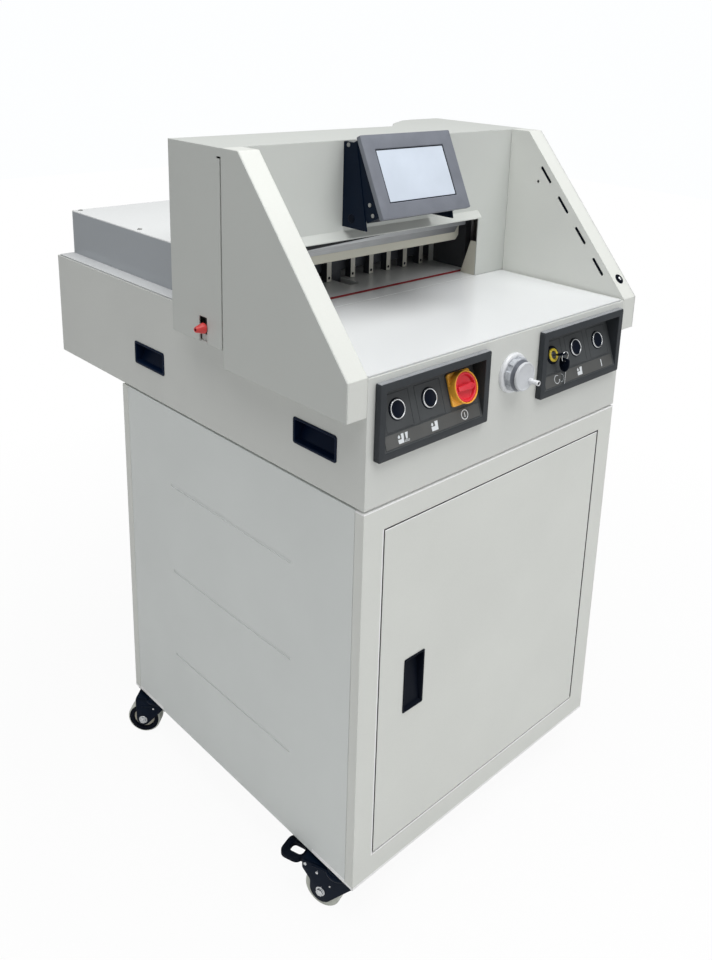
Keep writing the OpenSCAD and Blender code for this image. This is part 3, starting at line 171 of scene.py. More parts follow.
def moulding(name, s):
    # moulded plastic: spark-eroded grain in the normal and the gloss, a faint bloom of a second colour, and a painted
    # highlight on the rounded edges
    material, shader, at = newFinish(name)
    soft, edge = edgeOf(at, s["edge"])
    grain, bloom = noise(at, s["grain"], 3.0), noise(at, 28.0, 3.0)
    colour = bloom.clip(0.36, 0.64).over(tone(*s["colour"], 0.94), tone(*s["colour"], 1.06))
    # painted highlight: the rounded edges get a paler copy of the colour
    colour = (edge * s["bright"]).over(colour, tone(*s["colour"], 1.5))
    bump = at.add("Bump", {}, {"Strength": s["depth"], "Distance": 0.00012, "Height": grain, "Normal": soft})
    feed(shader, {"Base Color": colour, "Roughness": (grain - 0.5) * 0.2 + s["rough"], "Normal": bump,
                  "Specular IOR Level": s.get("gloss", 0.5)})
    return material


def worked(name, s):
    # worked metal: streaks along the tool's path (a stretched noise) in colour, gloss and normal, and a painted
    # highlight on the rounded edges
    material, shader, at = newFinish(name)
    soft, edge = edgeOf(at, s["edge"])
    streak, cloud = noise(at, 1.0, 4.0, s["stretch"]), noise(at, 24.0, 3.0)
    mix = (streak * 0.6 + cloud * 0.4).clip(0.33, 0.67)
    colour = mix.over(tone(*s["colour"], 0.82), tone(*s["colour"], 1.08))
    # painted highlight: the rounded edges get a paler copy of the colour
    colour = (edge * 0.6).over(colour, tone(*s["colour"], 1.25))
    bump = at.add("Bump", {}, {"Strength": s["depth"], "Distance": 0.0001, "Height": streak, "Normal": soft})
    feed(shader, {"Base Color": colour, "Metallic": s["metal"], "Roughness": (streak - 0.5) * 0.24 + s["rough"],
                  "Normal": bump})
    return material


def displayGlass(name, s):
    # clear cover over a lit display: faint film clouds, a soft glow and a hard gloss
    material, shader, at = newFinish(name)
    film = noise(at, 16.0, 4.0)
    colour = film.clip(0.3, 0.7).over(tone(*s["colour"], 0.95), tone(*s["colour"], 1.04))
    feed(shader, {"Base Color": colour, "Roughness": (film - 0.5) * 0.1 + s["rough"], "Emission Color": colour,
                  "Emission Strength": s["glow"], "Coat Weight": 0.6, "Coat Roughness": 0.06})
    return material


def banded(material, colour, mask):
    # a second colour where a mask of the object's own x, y and z is 1
    tree = material.node_tree
    shader = tree.nodes["Principled BSDF"]
    at = Sock(tree, tree.nodes.new("ShaderNodeTexCoord").outputs["Object"])
    base = Sock(tree, shader.inputs["Base Color"].links[0].from_socket)
    axes = [at.add("SeparateXYZ", {}, {0: at}, out=k) for k in range(3)]
    plug(tree, shader.inputs["Base Color"], mask(*axes).over(base, colour))


def tabled(keys, table):
    # one line of values per finish, in the order of the keys; what is left out at the end has its usual value
    return {name: dict(zip(keys.split(), values)) for name, values in table.items()}


# bright and lift in the tables below set the painted highlight on the rounded edges
lightCoat = (0.03, 0.44, 0.12, 0.0021, 0.9, 0.5, 0.14, 1.32)
coats = tabled("colour vary rough peel edge bright gloss spread lift", {
    "lightPaint": ((221, 223, 218), *lightCoat),
    "framePaint": ((221, 223, 218), *lightCoat),
    "doorPaint": ((221, 223, 218), *lightCoat),
    "sidePaint": ((222, 226, 224), *lightCoat),
    # the next two are darker copies of the light paint: painted shade on the base and on the tower
    "baseShadePaint": ((214, 216, 212), *lightCoat),
    "towerShadePaint": ((201, 204, 200), 0.02, 0.44, 0.1, 0.002, 0.8, 0.5, 0.16, 1.3),
    "coverPaint": ((250, 252, 252), 0.015, 0.2, 0.05, 0.0018, 0.6, 0.6),
    "tablePaint": ((224, 226, 227), 0.012, 0.22, 0.03, 0.0012, 0.9, 0.5, 0.16, 1.25),
    "creamPaint": ((208, 206, 192), 0.04, 0.42, 0.1, 0.0008, 0.5),
    "machineEnamel": ((74, 77, 81), 0.1, 0.48, 0.16, 0.001, 0.4),
    "blackPaint": ((6, 20, 38), 0.1, 0.38, 0.12, 0.0008, 0.35, 0.1),
    "redPaint": ((216, 64, 62), 0.06, 0.3, 0.06, 0.0006, 0.3),
})
mouldings = tabled("colour grain rough depth edge bright gloss", {
    "redStick": ((158, 26, 34), 600.0, 0.46, 0.2, 0.0005, 0.2),
    "blackPlastic": ((7, 14, 27), 1300.0, 0.46, 0.3, 0.0006, 0.4, 0.08),
    "charcoal": ((49, 53, 57), 1100.0, 0.5, 0.34, 0.0007, 0.45, 0.3),
    # a lighter copy of the charcoal: painted light on the panels' sloped faces
    "litFaceGrey": ((72, 75, 77), 1100.0, 0.5, 0.3, 0.0005, 0.35, 0.3),
    "stripGrey": ((82, 83, 82), 1500.0, 0.42, 0.16, 0.0003, 0.3),
    "whiteInk": ((226, 230, 233), 900.0, 0.5, 0.05, 0.0002, 0.0),
    "navyCap": ((7, 17, 33), 1500.0, 0.3, 0.1, 0.0005, 0.3, 0.1),
    "switchYellow": ((254, 180, 60), 1200.0, 0.34, 0.12, 0.0006, 0.2),
    "ringYellow": ((234, 208, 62), 1200.0, 0.34, 0.1, 0.0005, 0.2),
    "switchRed": ((230, 48, 64), 1200.0, 0.32, 0.12, 0.0006, 0.15),
    "gripNavy": ((8, 24, 48), 1300.0, 0.4, 0.3, 0.0009, 0.9, 0.1),
    "bezelGrey": ((117, 121, 130), 1200.0, 0.42, 0.16, 0.0008, 0.35),
    "treadRubber": ((214, 217, 207), 500.0, 0.4, 0.3, 0.0006, 0.1),
    "hubCream": ((206, 202, 184), 900.0, 0.44, 0.2, 0.0005, 0.2),
    "wheelSatin": ((207, 210, 214), 900.0, 0.32, 0.08, 0.0006, 0.3, 0.4),
})
metals = tabled("colour stretch metal rough depth edge", {
    "whiteSatin": ((235, 237, 240), (160.0, 900.0, 160.0), 0.08, 0.32, 0.06, 0.0006),
    "ribTrim": ((184, 187, 191), (900.0, 160.0, 160.0), 0.2, 0.34, 0.05, 0.0004),
    "chrome": ((224, 226, 228), (300.0, 900.0, 300.0), 1.0, 0.16, 0.03, 0.0004),
    "barSteel": ((208, 210, 212), (9.0, 420.0, 420.0), 0.35, 0.42, 0.1, 0.0007),
    "postSteel": ((208, 207, 198), (420.0, 420.0, 12.0), 0.25, 0.36, 0.08, 0.0005),
    "bladeSteel": ((204, 206, 208), (14.0, 700.0, 700.0), 0.2, 0.45, 0.1, 0.0005),
    "coreSteel": ((96, 98, 102), (300.0, 900.0, 300.0), 0.6, 0.36, 0.05, 0.0004),
    "zincSteel": ((182, 182, 180), (220.0, 220.0, 220.0), 0.9, 0.34, 0.12, 0.0005),
})
finish = {name: make(name, settings) for make, table in ((powderCoat, coats), (moulding, mouldings), (worked, metals))
          for name, settings in table.items()}
finish["displayGlass"] = displayGlass("displayGlass", {"colour": (197, 206, 218), "rough": 0.2, "glow": 0.12})
# bands of a second colour, at places in metres: the cover's skirt is greyer than its top, the knife bar is black
# above its ground strip, which narrows to the left, as painted shadow under the lip; bar and blade get darker to the
# right, as painted shade; the comb's back is dark
bandSet = {"skirt": 0.989, "strip": (0.037, 1.0101, 1.0143), "shadeRamp": (-0.05, 0.26), "combBack": -0.0171,
           "wheelRim": -0.4279, "wheelNeck": -0.4222, "ribs": 2600.0, "lip": 0.0922, "lipEnds": (-0.3125, 0.1235)}
slope, level, stripTop = bandSet["strip"]
banded(finish["coverPaint"], tone(170, 175, 180), lambda x, y, z: 1 - z.past(bandSet["skirt"], 0.0006))
# painted shadow under the lip: the knife bar is black above a sloped line
banded(finish["barSteel"], tone(14, 16, 20),
       lambda x, y, z: (z - x.math("MINIMUM", x * slope + level, stripTop)).past(0.0, 0.0008))
# painted shade: bar and blade darken towards the right
for kind in ("barSteel", "bladeSteel"):
    banded(finish[kind], tone(84, 86, 91), lambda x, y, z: x.clip(*bandSet["shadeRamp"]))
banded(finish["postSteel"], tone(62, 66, 72), lambda x, y, z: y.past(bandSet["combBack"], 0.0003))
# painted shade: the hand wheel's rim is darker than its disc, and its neck, which lies in the dark, darker still
behind = lambda y: y.past(bandSet["wheelRim"], 0.0004)
banded(finish["wheelSatin"], tone(182, 186, 192), lambda x, y, z: behind(y))
banded(finish["wheelSatin"], tone(104, 108, 116),
       lambda x, y, z: behind(y) * (1 - y.past(bandSet["wheelNeck"], 0.0006)))
# dark stripes across the trim on the panels: painted shade between its ribs
banded(finish["ribTrim"], tone(96, 100, 106), lambda x, y, z: x.math("SINE", x * bandSet["ribs"]).clip(0.0, 0.5))
# painted highlights: white lines on the folded edges of the frame's top, round the door opening on the left and
# below, and on the door's top and right
doorSet = {"half": 0.2585, "low": 0.130, "high": 0.678, "gap": 0.0025, "fold": 0.0024, "gapShade": (0.0005, 0.0055)}
paintedHighlight, dark = tone(255, 255, 255), tone(38, 38, 46)
half, low, high = doorSet["half"], doorSet["low"], doorSet["high"]
rim, fold = doorSet["gap"] + doorSet["fold"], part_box("cabinet_frame")[1].z - doorSet["fold"]
banded(finish["framePaint"], paintedHighlight, lambda x, y, z: z.past(fold, 0.0006))
banded(finish["framePaint"], paintedHighlight, lambda x, y, z: x.past(-half - rim) * (1 - x.past(half - 0.0030))
       * (1 - z.past(high + doorSet["gap"])) * z.past(low - rim))
banded(finish["doorPaint"], paintedHighlight, lambda x, y, z: 1 - (1 - z.past(high - 0.0018)) * (1 - x.past(half - 0.0021)))
# painted shade in the door's gap: a dark band round the door's edge and its frame, just behind the front
gapShadeFrom, gapShadeTo = (front * mm + depth for depth in doorSet["gapShade"])
gapShade = lambda y: y.past(gapShadeFrom, 0.0004) * (1 - y.past(gapShadeTo, 0.0002))
wide = lambda x: x.math("ABSOLUTE", x)
banded(finish["framePaint"], dark, lambda x, y, z: gapShade(y) * (1 - wide(x).past(half + 0.0255, 0.002))
       * (1 - z.past(high + 0.012, 0.002)) * z.past(low - 0.0015))
banded(finish["doorPaint"], dark, lambda x, y, z: gapShade(y) * (1 - (1 - wide(x).past(half - 0.0006, 0.0002))
       * (1 - z.past(high - 0.0006, 0.0002)) * z.past(low + 0.0004, 0.0002)))
# painted highlight: a white strip along the lower edge of the cabinet's sides, above each caster
lipFront, lipRear = bandSet["lipEnds"]
banded(finish["sidePaint"], paintedHighlight, lambda x, y, z: (1 - z.past(bandSet["lip"], 0.0008))
       * (1 - y.past(lipFront, 0.001) * (1 - y.past(lipRear, 0.001))))
print("finishes made:", len(finish))

# finish of each solid that stays as it is
keptSolids = {
    "framePaint": "cabinet_frame",
    "doorPaint": "door",
    "baseShadePaint": "base_shell",
    "lightPaint": "cabinet_back shield_left shield_right",
    "sidePaint": "cabinet_side_left cabinet_side_right cabinet_floor",
    "towerShadePaint": "tower_cover",
    "coverPaint": "rear_cover",
    "tablePaint": "table",
    "creamPaint": "opening_guards clamp",
    "machineEnamel": "machine_frame knife_motor small_motors",
    "barSteel": "knife_carrier",
    "postSteel": "back_gauge",
    "bladeSteel": "blade",
    "zincSteel": "power_unit knife_nut knife_spindle clamp_spindle gauge_spindle",
    "redStick": "cutting_stick",
    "redPaint": "stick_lever",
    "blackPaint": "console_bracket caster_plates",
    "blackPlastic": "light_bars",
}
for kind, names in keptSolids.items():
    for name in names.split():
        for item in nodes[name].material_slots:
            item.material = finish[kind]


class Place:
    # a local frame in millimetres: (x, y, z) goes to the origin plus x, y and z steps along its three axes
    def __init__(self, origin, a=(1, 0, 0), b=(0, 1, 0), c=(0, 0, 1)):
        self.origin, self.axes = np.array(origin, float), np.array([a, b, c], float)

    def __call__(self, points):
        return (np.asarray(points, float) @ self.axes + self.origin) * mm

    def moved(self, x=0.0, y=0.0, z=0.0):
        return Place(self.origin + np.array([x, y, z]) @ self.axes, *self.axes)


def grid(points, first=True, last=True, loop=False, openRows=False, skip=None):
    # surface of two parameters: row i, column j; rows close into rings, and the end rings can get a cap
    rows, cols = points.shape[:2]
    i = np.arange(rows if loop else rows - 1)[:, None]
    j = np.arange(cols - 1 if openRows else cols)[None, :]
    nextRow, nextCol = (i + 1) % rows, (j + 1) % cols
    quads = np.stack(np.broadcast_arrays(i * cols + j, i * cols + nextCol, nextRow * cols + nextCol,
                                         nextRow * cols + j), -1).reshape(-1, 4)
    if skip is not None:
        quads = quads[~skip(points.reshape(-1, 3)[quads].mean(1))]
    faces = quads.tolist()
    if not (loop or openRows):
        faces += [list(range(cols))] * first + [list(range((rows - 1) * cols, rows * cols))] * last
    return points.reshape(-1, 3), faces


creaseAngle = math.radians(30.0)                 # a sharper edge stays hard


def putPiece(name, body, kind, slot, parts, stands=()):
    # joins surfaces into one mesh, merges seams and poles, and turns the faces outwards
    offset = np.cumsum([0] + [len(points) for points, faces in parts])
    faces = [[v + int(o) for v in face] for (points, some), o in zip(parts, offset) for face in some]
    mesh = bpy.data.meshes.new(name)
    mesh.from_pydata(np.vstack([points for points, some in parts]).tolist(), [], faces)
    work = bmesh.new()
    work.from_mesh(mesh)
    bmesh.ops.remove_doubles(work, verts=work.verts, dist=2e-6)
    bmesh.ops.recalc_face_normals(work, faces=work.faces)
    work.to_mesh(mesh)
    work.free()
    mesh.shade_smooth()
    mesh.set_sharp_from_angle(angle=creaseAngle)
    mesh.materials.append(finish[kind])
    piece = bpy.data.objects.new(name, mesh)
    bpy.context.scene.collection.objects.link(piece)
    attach(piece, body)
    if stands:
        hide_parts(*stands)


def roundRect(w, h, r, steps=6):
    # rounded rectangle, anticlockwise: four quarter circles of radius r about the inset corners
    a = np.arange(4)[:, None] * np.pi / 2 + np.linspace(0, np.pi / 2, steps)[None, :]
    x = np.array([1, -1, -1, 1])[:, None] * (w / 2 - r) + r * np.cos(a)
    z = np.array([1, 1, -1, -1])[:, None] * (h / 2 - r) + r * np.sin(a)
    return np.c_[x.ravel(), z.ravel()]


def circle(r, count=24, start=0.0):
    # (r cos a, r sin a) for equal steps of the angle a
    a = np.linspace(0, 2 * np.pi, count, endpoint=False) + start
    return np.c_[r * np.cos(a), r * np.sin(a)]


def soften(line, radius, closed=False, steps=4):
    # each corner becomes a quadratic curve that starts and ends one radius away from it
    p = np.array(line, float)
    before, after = np.roll(p, 1, 0), np.roll(p, -1, 0)
    if not closed:
        before, p0, after = p[:-2], p[1:-1], p[2:]
    else:
        p0 = p
    pull = lambda q: p0 + (q - p0) * np.minimum(radius / np.linalg.norm(q - p0, axis=1), 0.45)[:, None]
    t = np.linspace(0, 1, steps)[None, :, None]
    curve = (1 - t) ** 2 * pull(before)[:, None] + 2 * t * (1 - t) * p0[:, None] + t ** 2 * pull(after)[:, None]
    curve = curve.reshape(-1, 2)
    return curve if closed else np.vstack([p[:1], curve, p[-1:]])


def inset(loop, d):
    # moves each point of an anticlockwise outline inwards by d along the mitre of its two sides
    side = np.roll(loop, -1, 0) - loop
    side /= np.linalg.norm(side, axis=1)[:, None]
    normal = np.c_[-side[:, 1], side[:, 0]]
    other = np.roll(normal, 1, 0)
    return loop + d * (normal + other) / (1 + (normal * other).sum(1))[:, None]


def section(loop, depth):
    # an outline in the x-z plane, set at a depth, which may differ from point to point
    return np.c_[loop[:, 0], np.broadcast_to(depth, len(loop)), loop[:, 1]]


def stack(place, *sections, **ends):
    # sections carried through space one after the other
    return grid(place(np.stack(sections)), **ends)


def plate(place, loop, low, high, edge=0.5):
    # an outline carried through its thickness, drawn in along a quarter circle at both edges
    a = np.linspace(0, np.pi / 2, 4)
    draw, rise = edge * (1 - np.sin(a)), edge * (1 - np.cos(a))
    sides = [section(inset(loop, d), low + h) for d, h in zip(draw, rise)]
    sides += [section(inset(loop, d), high - h) for d, h in zip(draw[::-1], rise[::-1])]
    return stack(place, *sides)


def ringPlate(place, outer, inner, low, high, edge=0.5):
    # a plate with a hole: the cross-section runs round outside, front, inside and back, and closes
    return stack(place, section(outer, high), section(outer, low + edge),
                 section(inset(outer, 0.3 * edge), low + 0.3 * edge), section(inset(outer, edge), low),
                 section(inset(inner, -edge), low), section(inner, low + edge), section(inner, high), loop=True)


def lathe(place, profile, count=40, wave=None, **ends):
    # turned surface about the local y axis: (r cos a, h, r sin a) for every step (r, h) and every angle a
    r, h = np.array(profile, float).T
    a = np.linspace(0, 2 * np.pi, count, endpoint=False)
    radius = r[:, None] + (wave(r, h, a) if wave else np.zeros((len(r), count)))
    points = np.stack([radius * np.cos(a), np.broadcast_to(h[:, None], radius.shape), radius * np.sin(a)], -1)
    return grid(place(points), **ends)


def sweep(place, path, profile, side, closed=False):
    # a profile carried along a path: its first coordinate goes across the path, its second along the given side
    path, side = np.array(path, float), np.array(side, float)
    ahead = np.roll(path, -1, 0) - np.roll(path, 1, 0) if closed else np.gradient(path, axis=0)
    across = np.cross(ahead / np.linalg.norm(ahead, axis=1)[:, None], side)
    points = path[:, None] + profile[None, :, :1] * across[:, None] + profile[None, :, 1:] * side
    return grid(place(points), loop=closed)


def boxOf(node):
    low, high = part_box(node)
    return np.array(low) / mm, np.array(high) / mm


def facing(origin, axis):
    # a local frame whose y axis points along the given direction
    b = np.array(axis, float)
    a = np.cross(b, [0.31, 0.2, 0.93])
    a /= np.linalg.norm(a)
    return Place(origin, a, b, np.cross(a, b))


def leaning(origin, degrees):
    # a local frame turned about x, so that its x-z plane leans back
    c, s = np.cos(np.radians(degrees)), np.sin(np.radians(degrees))
    return Place(origin, (1, 0, 0), (0, c, -s), (0, s, c))


# control panels: rim, sloped face with engraved frames, icon strip with plain signs
panelSet = {"tilt": 19.2, "rim": 11.5, "pitch": 63.0, "row": 52.7, "cell": 25.5, "cellRows": (25.0, 75.5),
            "strip": (2.6, 23.4), "groove": 1.2, "deep": 0.6, "well": 12.6, "wellSide": 15.0}
dropSign = [(0.3, 8.6), (1.4, 7.0), (3.2, 6.8), (4.6, 8.2), (4.4, 9.8), (2.8, 12.0), (1.0, 10.2)]
cutSign = [[(0.6, 0), (10.4, 0), (10.6, 5.4), (0.2, 5.4)], dropSign,
           [(7.0, 5.3), (11.0, 5.3), (11.8, 12.6), (6.6, 12.6)],
           [(15.0, 3.6), (17.6, 3.6), (20.0, 12.6), (14.4, 12.6)]]
cutSign += [[(x, z), (x + 1.6, z), (x + 1.6, z + 1.0), (x, z + 1.0)]
            for x in (12.2, 14.6, 17.0, 19.4) for z in (0.0, 1.7)]
clampSign = [[(0.6, 0), (13.2, 0), (13.4, 6.0), (0.2, 6.0)], dropSign,
             [(8.0, 5.9), (13.4, 5.9), (14.0, 12.6), (7.6, 12.6)]]
panelFrames = {}


def signRing(place, r, width, sweepAngles, low, high):
    # flat arc: inner and outer circle between two angles, through a small thickness
    a = np.radians(np.linspace(*sweepAngles, 40))
    arc = lambda q: np.c_[q * np.cos(a), q * np.sin(a)]
    loop = np.vstack([arc(r), arc(r - width)[::-1]])
    return stack(place, section(loop, low), section(loop, high))


def makePanel(node, side, signs, wells):
    s = panelSet
    low, high = boxOf(node)
    w, h = high[0] - low[0], high[2] - low[2]
    out, tilt = front - low[1], np.radians(s["tilt"])
    middle = Place(((low[0] + high[0]) / 2, front, (low[2] + high[2]) / 2))
    faceZ = s["rim"] - 1 - h / 2
    depthAt = lambda loop: -out + (loop[:, 1] - faceZ) * np.tan(tilt)
    openW, openH = w - 2 * s["rim"], h - 2 * s["rim"]
    full, rim, mouth = roundRect(w, h, 3.0), roundRect(openW + 1.2, openH + 1.2, 1.4), roundRect(openW, openH, 0.8)
    body = roundRect(w - 16, h - 16, 2.0)
    # open behind the face, where the buttons pass
    shell = stack(middle, section(body, high[1] - front), section(body, 0), section(full, 0),
                  section(full, 1.2 - out), section(inset(full, 0.35), 0.4 - out), section(inset(full, 1.2), -out),
                  section(rim, -out), section(mouth, 0.5 - out), section(mouth, depthAt(mouth) + 1.0), last=False)
    face = leaning(middle.origin + [0, -out, faceZ], s["tilt"])
    panelFrames[node] = face
    top, halfW, g = (h - 2 * s["rim"] + 1) / np.cos(tilt), w / 2 - s["rim"], s["groove"] / 2
    lines = []                                   # engraved lines as (x0, x1, s0, s1)
    for x in (-s["pitch"], 0, s["pitch"]):
        a, b, (c, d) = x - s["cell"], x + s["cell"], s["cellRows"]
        lines += [(a - g, a + g, c, d), (b - g, b + g, c, d), (a, b, c - g, c + g), (a, b, d - g, d + g)]
    c, d = s["strip"]
    lines += [(3 - halfW - g, 3 - halfW + g, c, d), (halfW - 3 - g, halfW - 3 + g, c, d),
              (3 - halfW, halfW - 3, c - g, c + g), (3 - halfW, halfW - 3, d - g, d + g)]
    lines, k = np.array(lines), 0.2
    well = np.array(wells)[:, None] + np.array([-s["wellSide"], s["wellSide"]])
    xs = np.unique(np.r_[-halfW, halfW, well.ravel(), (lines[:, :2, None] + [-k, k]).ravel()].round(4))
    ss = np.unique(np.r_[1.06, top, s["row"] - s["wellSide"], s["row"] + s["wellSide"],
                         (lines[:, 2:, None] + [-k, k]).ravel()].round(4))
    xg, sg = np.meshgrid(xs, ss, indexing="ij")
    inLine = ((xg[..., None] > lines[:, 0]) & (xg[..., None] < lines[:, 1]) &
              (sg[..., None] > lines[:, 2]) & (sg[..., None] < lines[:, 3])).any(-1)
    points = face(np.stack([xg, inLine * s["deep"], sg], -1))
    holes = face(np.c_[wells, np.zeros(len(wells)), np.full(len(wells), s["row"])])
    hidden = lambda centres: (np.abs(centres[:, None] - holes[None]).max(-1) < s["wellSide"] * mm * 0.97).any(1)
    field = grid(points, openRows=True, skip=hidden)
    around = []
    for x in wells:                              # from the square gap in the field to the round well
        square = circle(1.0, 32)
        square = square / np.abs(square).max(1)[:, None] * s["wellSide"]
        spot = face.moved(x=x, z=s["row"])
        hole = circle(s["well"], 32)
        around.append(stack(spot, section(square, 0), section(hole, 0), section(hole, 0.9), first=False, last=False))
    putPiece(side + "PanelShell", "machine", "charcoal", "charcoal_plastic", [shell], [node])
    putPiece(side + "PanelFace", "machine", "litFaceGrey", "charcoal_plastic", [field] + around)
    lid = plate(Place(middle.origin + [0, (0.9 - out) / 2, h / 2], (1, 0, 0), (0, 0, 1), (0, -1, 0)),
                roundRect(w - 2.0, out - 0.9, 0.6), -0.3, 0.25, 0.12)
    putPiece(side + "PanelTopTrim", "machine", "ribTrim", "satin_aluminium", [lid])
    bar = plate(face.moved(z=sum(s["strip"]) / 2), roundRect(2 * halfW - 8.4, d - c - 2.4, 0.6), -0.12, 0.5, 0.1)
    putPiece(side + "PanelStrip", "machine", "stripGrey", "charcoal_plastic", [bar])
    ink = []
    for x, sign in signs:
        spot = face.moved(x=x, z=sum(s["strip"]) / 2)
        if sign == "turn":
            ink.append(signRing(spot, 7.0, 1.0, (50, 335), -0.2, -0.1))
            tip = np.array([(7.9, -0.6), (4.6, -1.2), (6.0, -5.0)])
            ink.append(stack(spot, section(tip, -0.2), section(tip, -0.1)))
        elif sign == "ring":
            ink.append(ringPlate(spot, circle(7.4, 32), circle(6.0, 32), -0.2, -0.1, 0.02))
            ink.append(plate(spot, roundRect(1.5, 7.4, 0.5), -0.2, -0.1, 0.02))
        elif sign == "bar":
            ink.append(plate(spot, np.array([(1.0, 6), (-1.0, 6), (-0.7, -6), (1.5, -6)]), -0.2, -0.1, 0.02))
        else:
            for loop in sign:
                loop = np.array(loop) - (9.0 if sign is cutSign else 7.0, 6.3)
                ink.append(stack(spot, section(loop, -0.2), section(loop, -0.1)))
    putPiece(side + "PanelSigns", "machine", "whiteInk", "bright_chrome", ink)


pitch = panelSet["pitch"]
makePanel("panel_left", "left", [(-pitch, cutSign), (0, clampSign), (pitch, "ring")], (-pitch, 0))
makePanel("panel_right", "right", [(-pitch, "turn"), (0, clampSign), (pitch, "bar")], (0, pitch))
print("control panels made")

# push buttons: black flange, plated ring, dished cap
buttonSet = {"cap": 11.25, "ring": (11.6, 14.2), "flange": 15.4, "proud": 2.6, "deep": 8.0}


def makeButtons(s):
    spots = [(name, panelFrames[panel].moved(x=x, z=panelSet["row"])) for name, panel, x in (
        ("button_a", "panel_left", -pitch), ("button_b", "panel_left", 0.0),
        ("button_c", "panel_right", 0.0), ("button_d", "panel_right", pitch))]
    a, b = s["ring"]
    ring = soften([(a, 0.6), (a, -2.3), (a + 0.7, -3.0), (b - 0.7, -2.9), (b, -1.8), (b, 0.6)], 0.5)
    flange = soften([(b - 0.6, 0.4), (b - 0.6, -1.2), (s["flange"] - 0.4, -1.2), (s["flange"], 0.4)], 0.5)
    putPiece("buttonRings", "machine", "chrome", "bright_chrome",
             [lathe(spot, ring, loop=True) for name, spot in spots], ["button_bezels"])
    putPiece("buttonFlanges", "machine", "blackPlastic", "black_plastic",
             [lathe(spot, flange, loop=True) for name, spot in spots])
    c, top = s["cap"], -s["proud"]
    cap = soften([(0, top + 0.7), (5, top + 0.6), (c - 1.6, top + 0.05), (c - 0.5, top), (c, top + 0.6),
                  (c, s["deep"])], 0.6)
    for name, spot in spots:
        putPiece(name.replace("_", "") + "Cap", name, "navyCap", "navy_plastic", [lathe(spot, cap)], [name])


makeButtons(buttonSet)

# main switch: square plate with a collar, and a knob with a pointed grip in a dish
switchSet = {"side": 48.0, "plate": 4.0, "collar": 24.0, "wall": 2.0, "reach": 15.0, "knob": 21.5, "face": 13.9,
             "dish": 8.4, "grip": 15.9, "eye": 10.0}


def makeSwitch(s):
    spot = panelFrames["panel_left"].moved(x=pitch, z=panelSet["row"])
    c, r, p = s["collar"], s["reach"], s["plate"]
    bore = c - s["wall"]
    collar = soften([(bore, -p + 0.5), (bore, -r + 0.5), (c - 1.0, -r), (c - 0.1, -r + 0.6), (c, -p + 0.5)], 0.5)
    putPiece("switchPlate", "machine", "switchYellow", "yellow_plastic",
             [plate(spot, roundRect(s["side"], s["side"], 4.0), -p, 0.0, 1.4), lathe(spot, collar, 56, loop=True)],
             ["switch_base"])
    k, f, d = s["knob"], s["face"], s["dish"]
    disc = soften([(0, -p - 0.4), (k, -p - 0.4), (k, -f + 0.6), (k - 0.7, -f), (k - 2.2, -f), (k - 3, -f + 0.8),
                   (k - 4, -d - 0.5), (k - 5.2, -d), (0, -d)], 0.6)
    grip = soften([(-17.6, -3.3), (2, -4.4), (8, -5.2), (12.4, -4.6), (17.8, 0), (12.4, 4.6), (8, 5.2), (2, 4.4),
                   (-17.6, 3.3)], 1.6, True)
    putPiece("switchKnob", "switch_knob", "switchRed", "red_plastic",
             [lathe(spot, disc, 56), plate(spot, grip, -s["grip"], -d + 0.4, 1.1)], ["switch_knob"])
    eyeLine = [(0, 0.3), (1.7, 0.3), (2.1, -0.06), (2.3, 0.2), (2.3, 1.0)]
    eye = lathe(spot.moved(x=s["eye"], y=-s["grip"]), eyeLine, 20)
    putPiece("switchLockEye", "switch_knob", "blackPlastic", "black_plastic", [eye])


makeSwitch(switchSet)

# key switch: black collar, yellow ring, key with a black bow, wire ring and a second key
keySet = {"eye": -21.2, "ring": 8.0, "wire": 0.8, "drop": 40.0, "bow": (18.0, 22.0, 2.6), "blade": (8.0, 20.0, 1.2)}


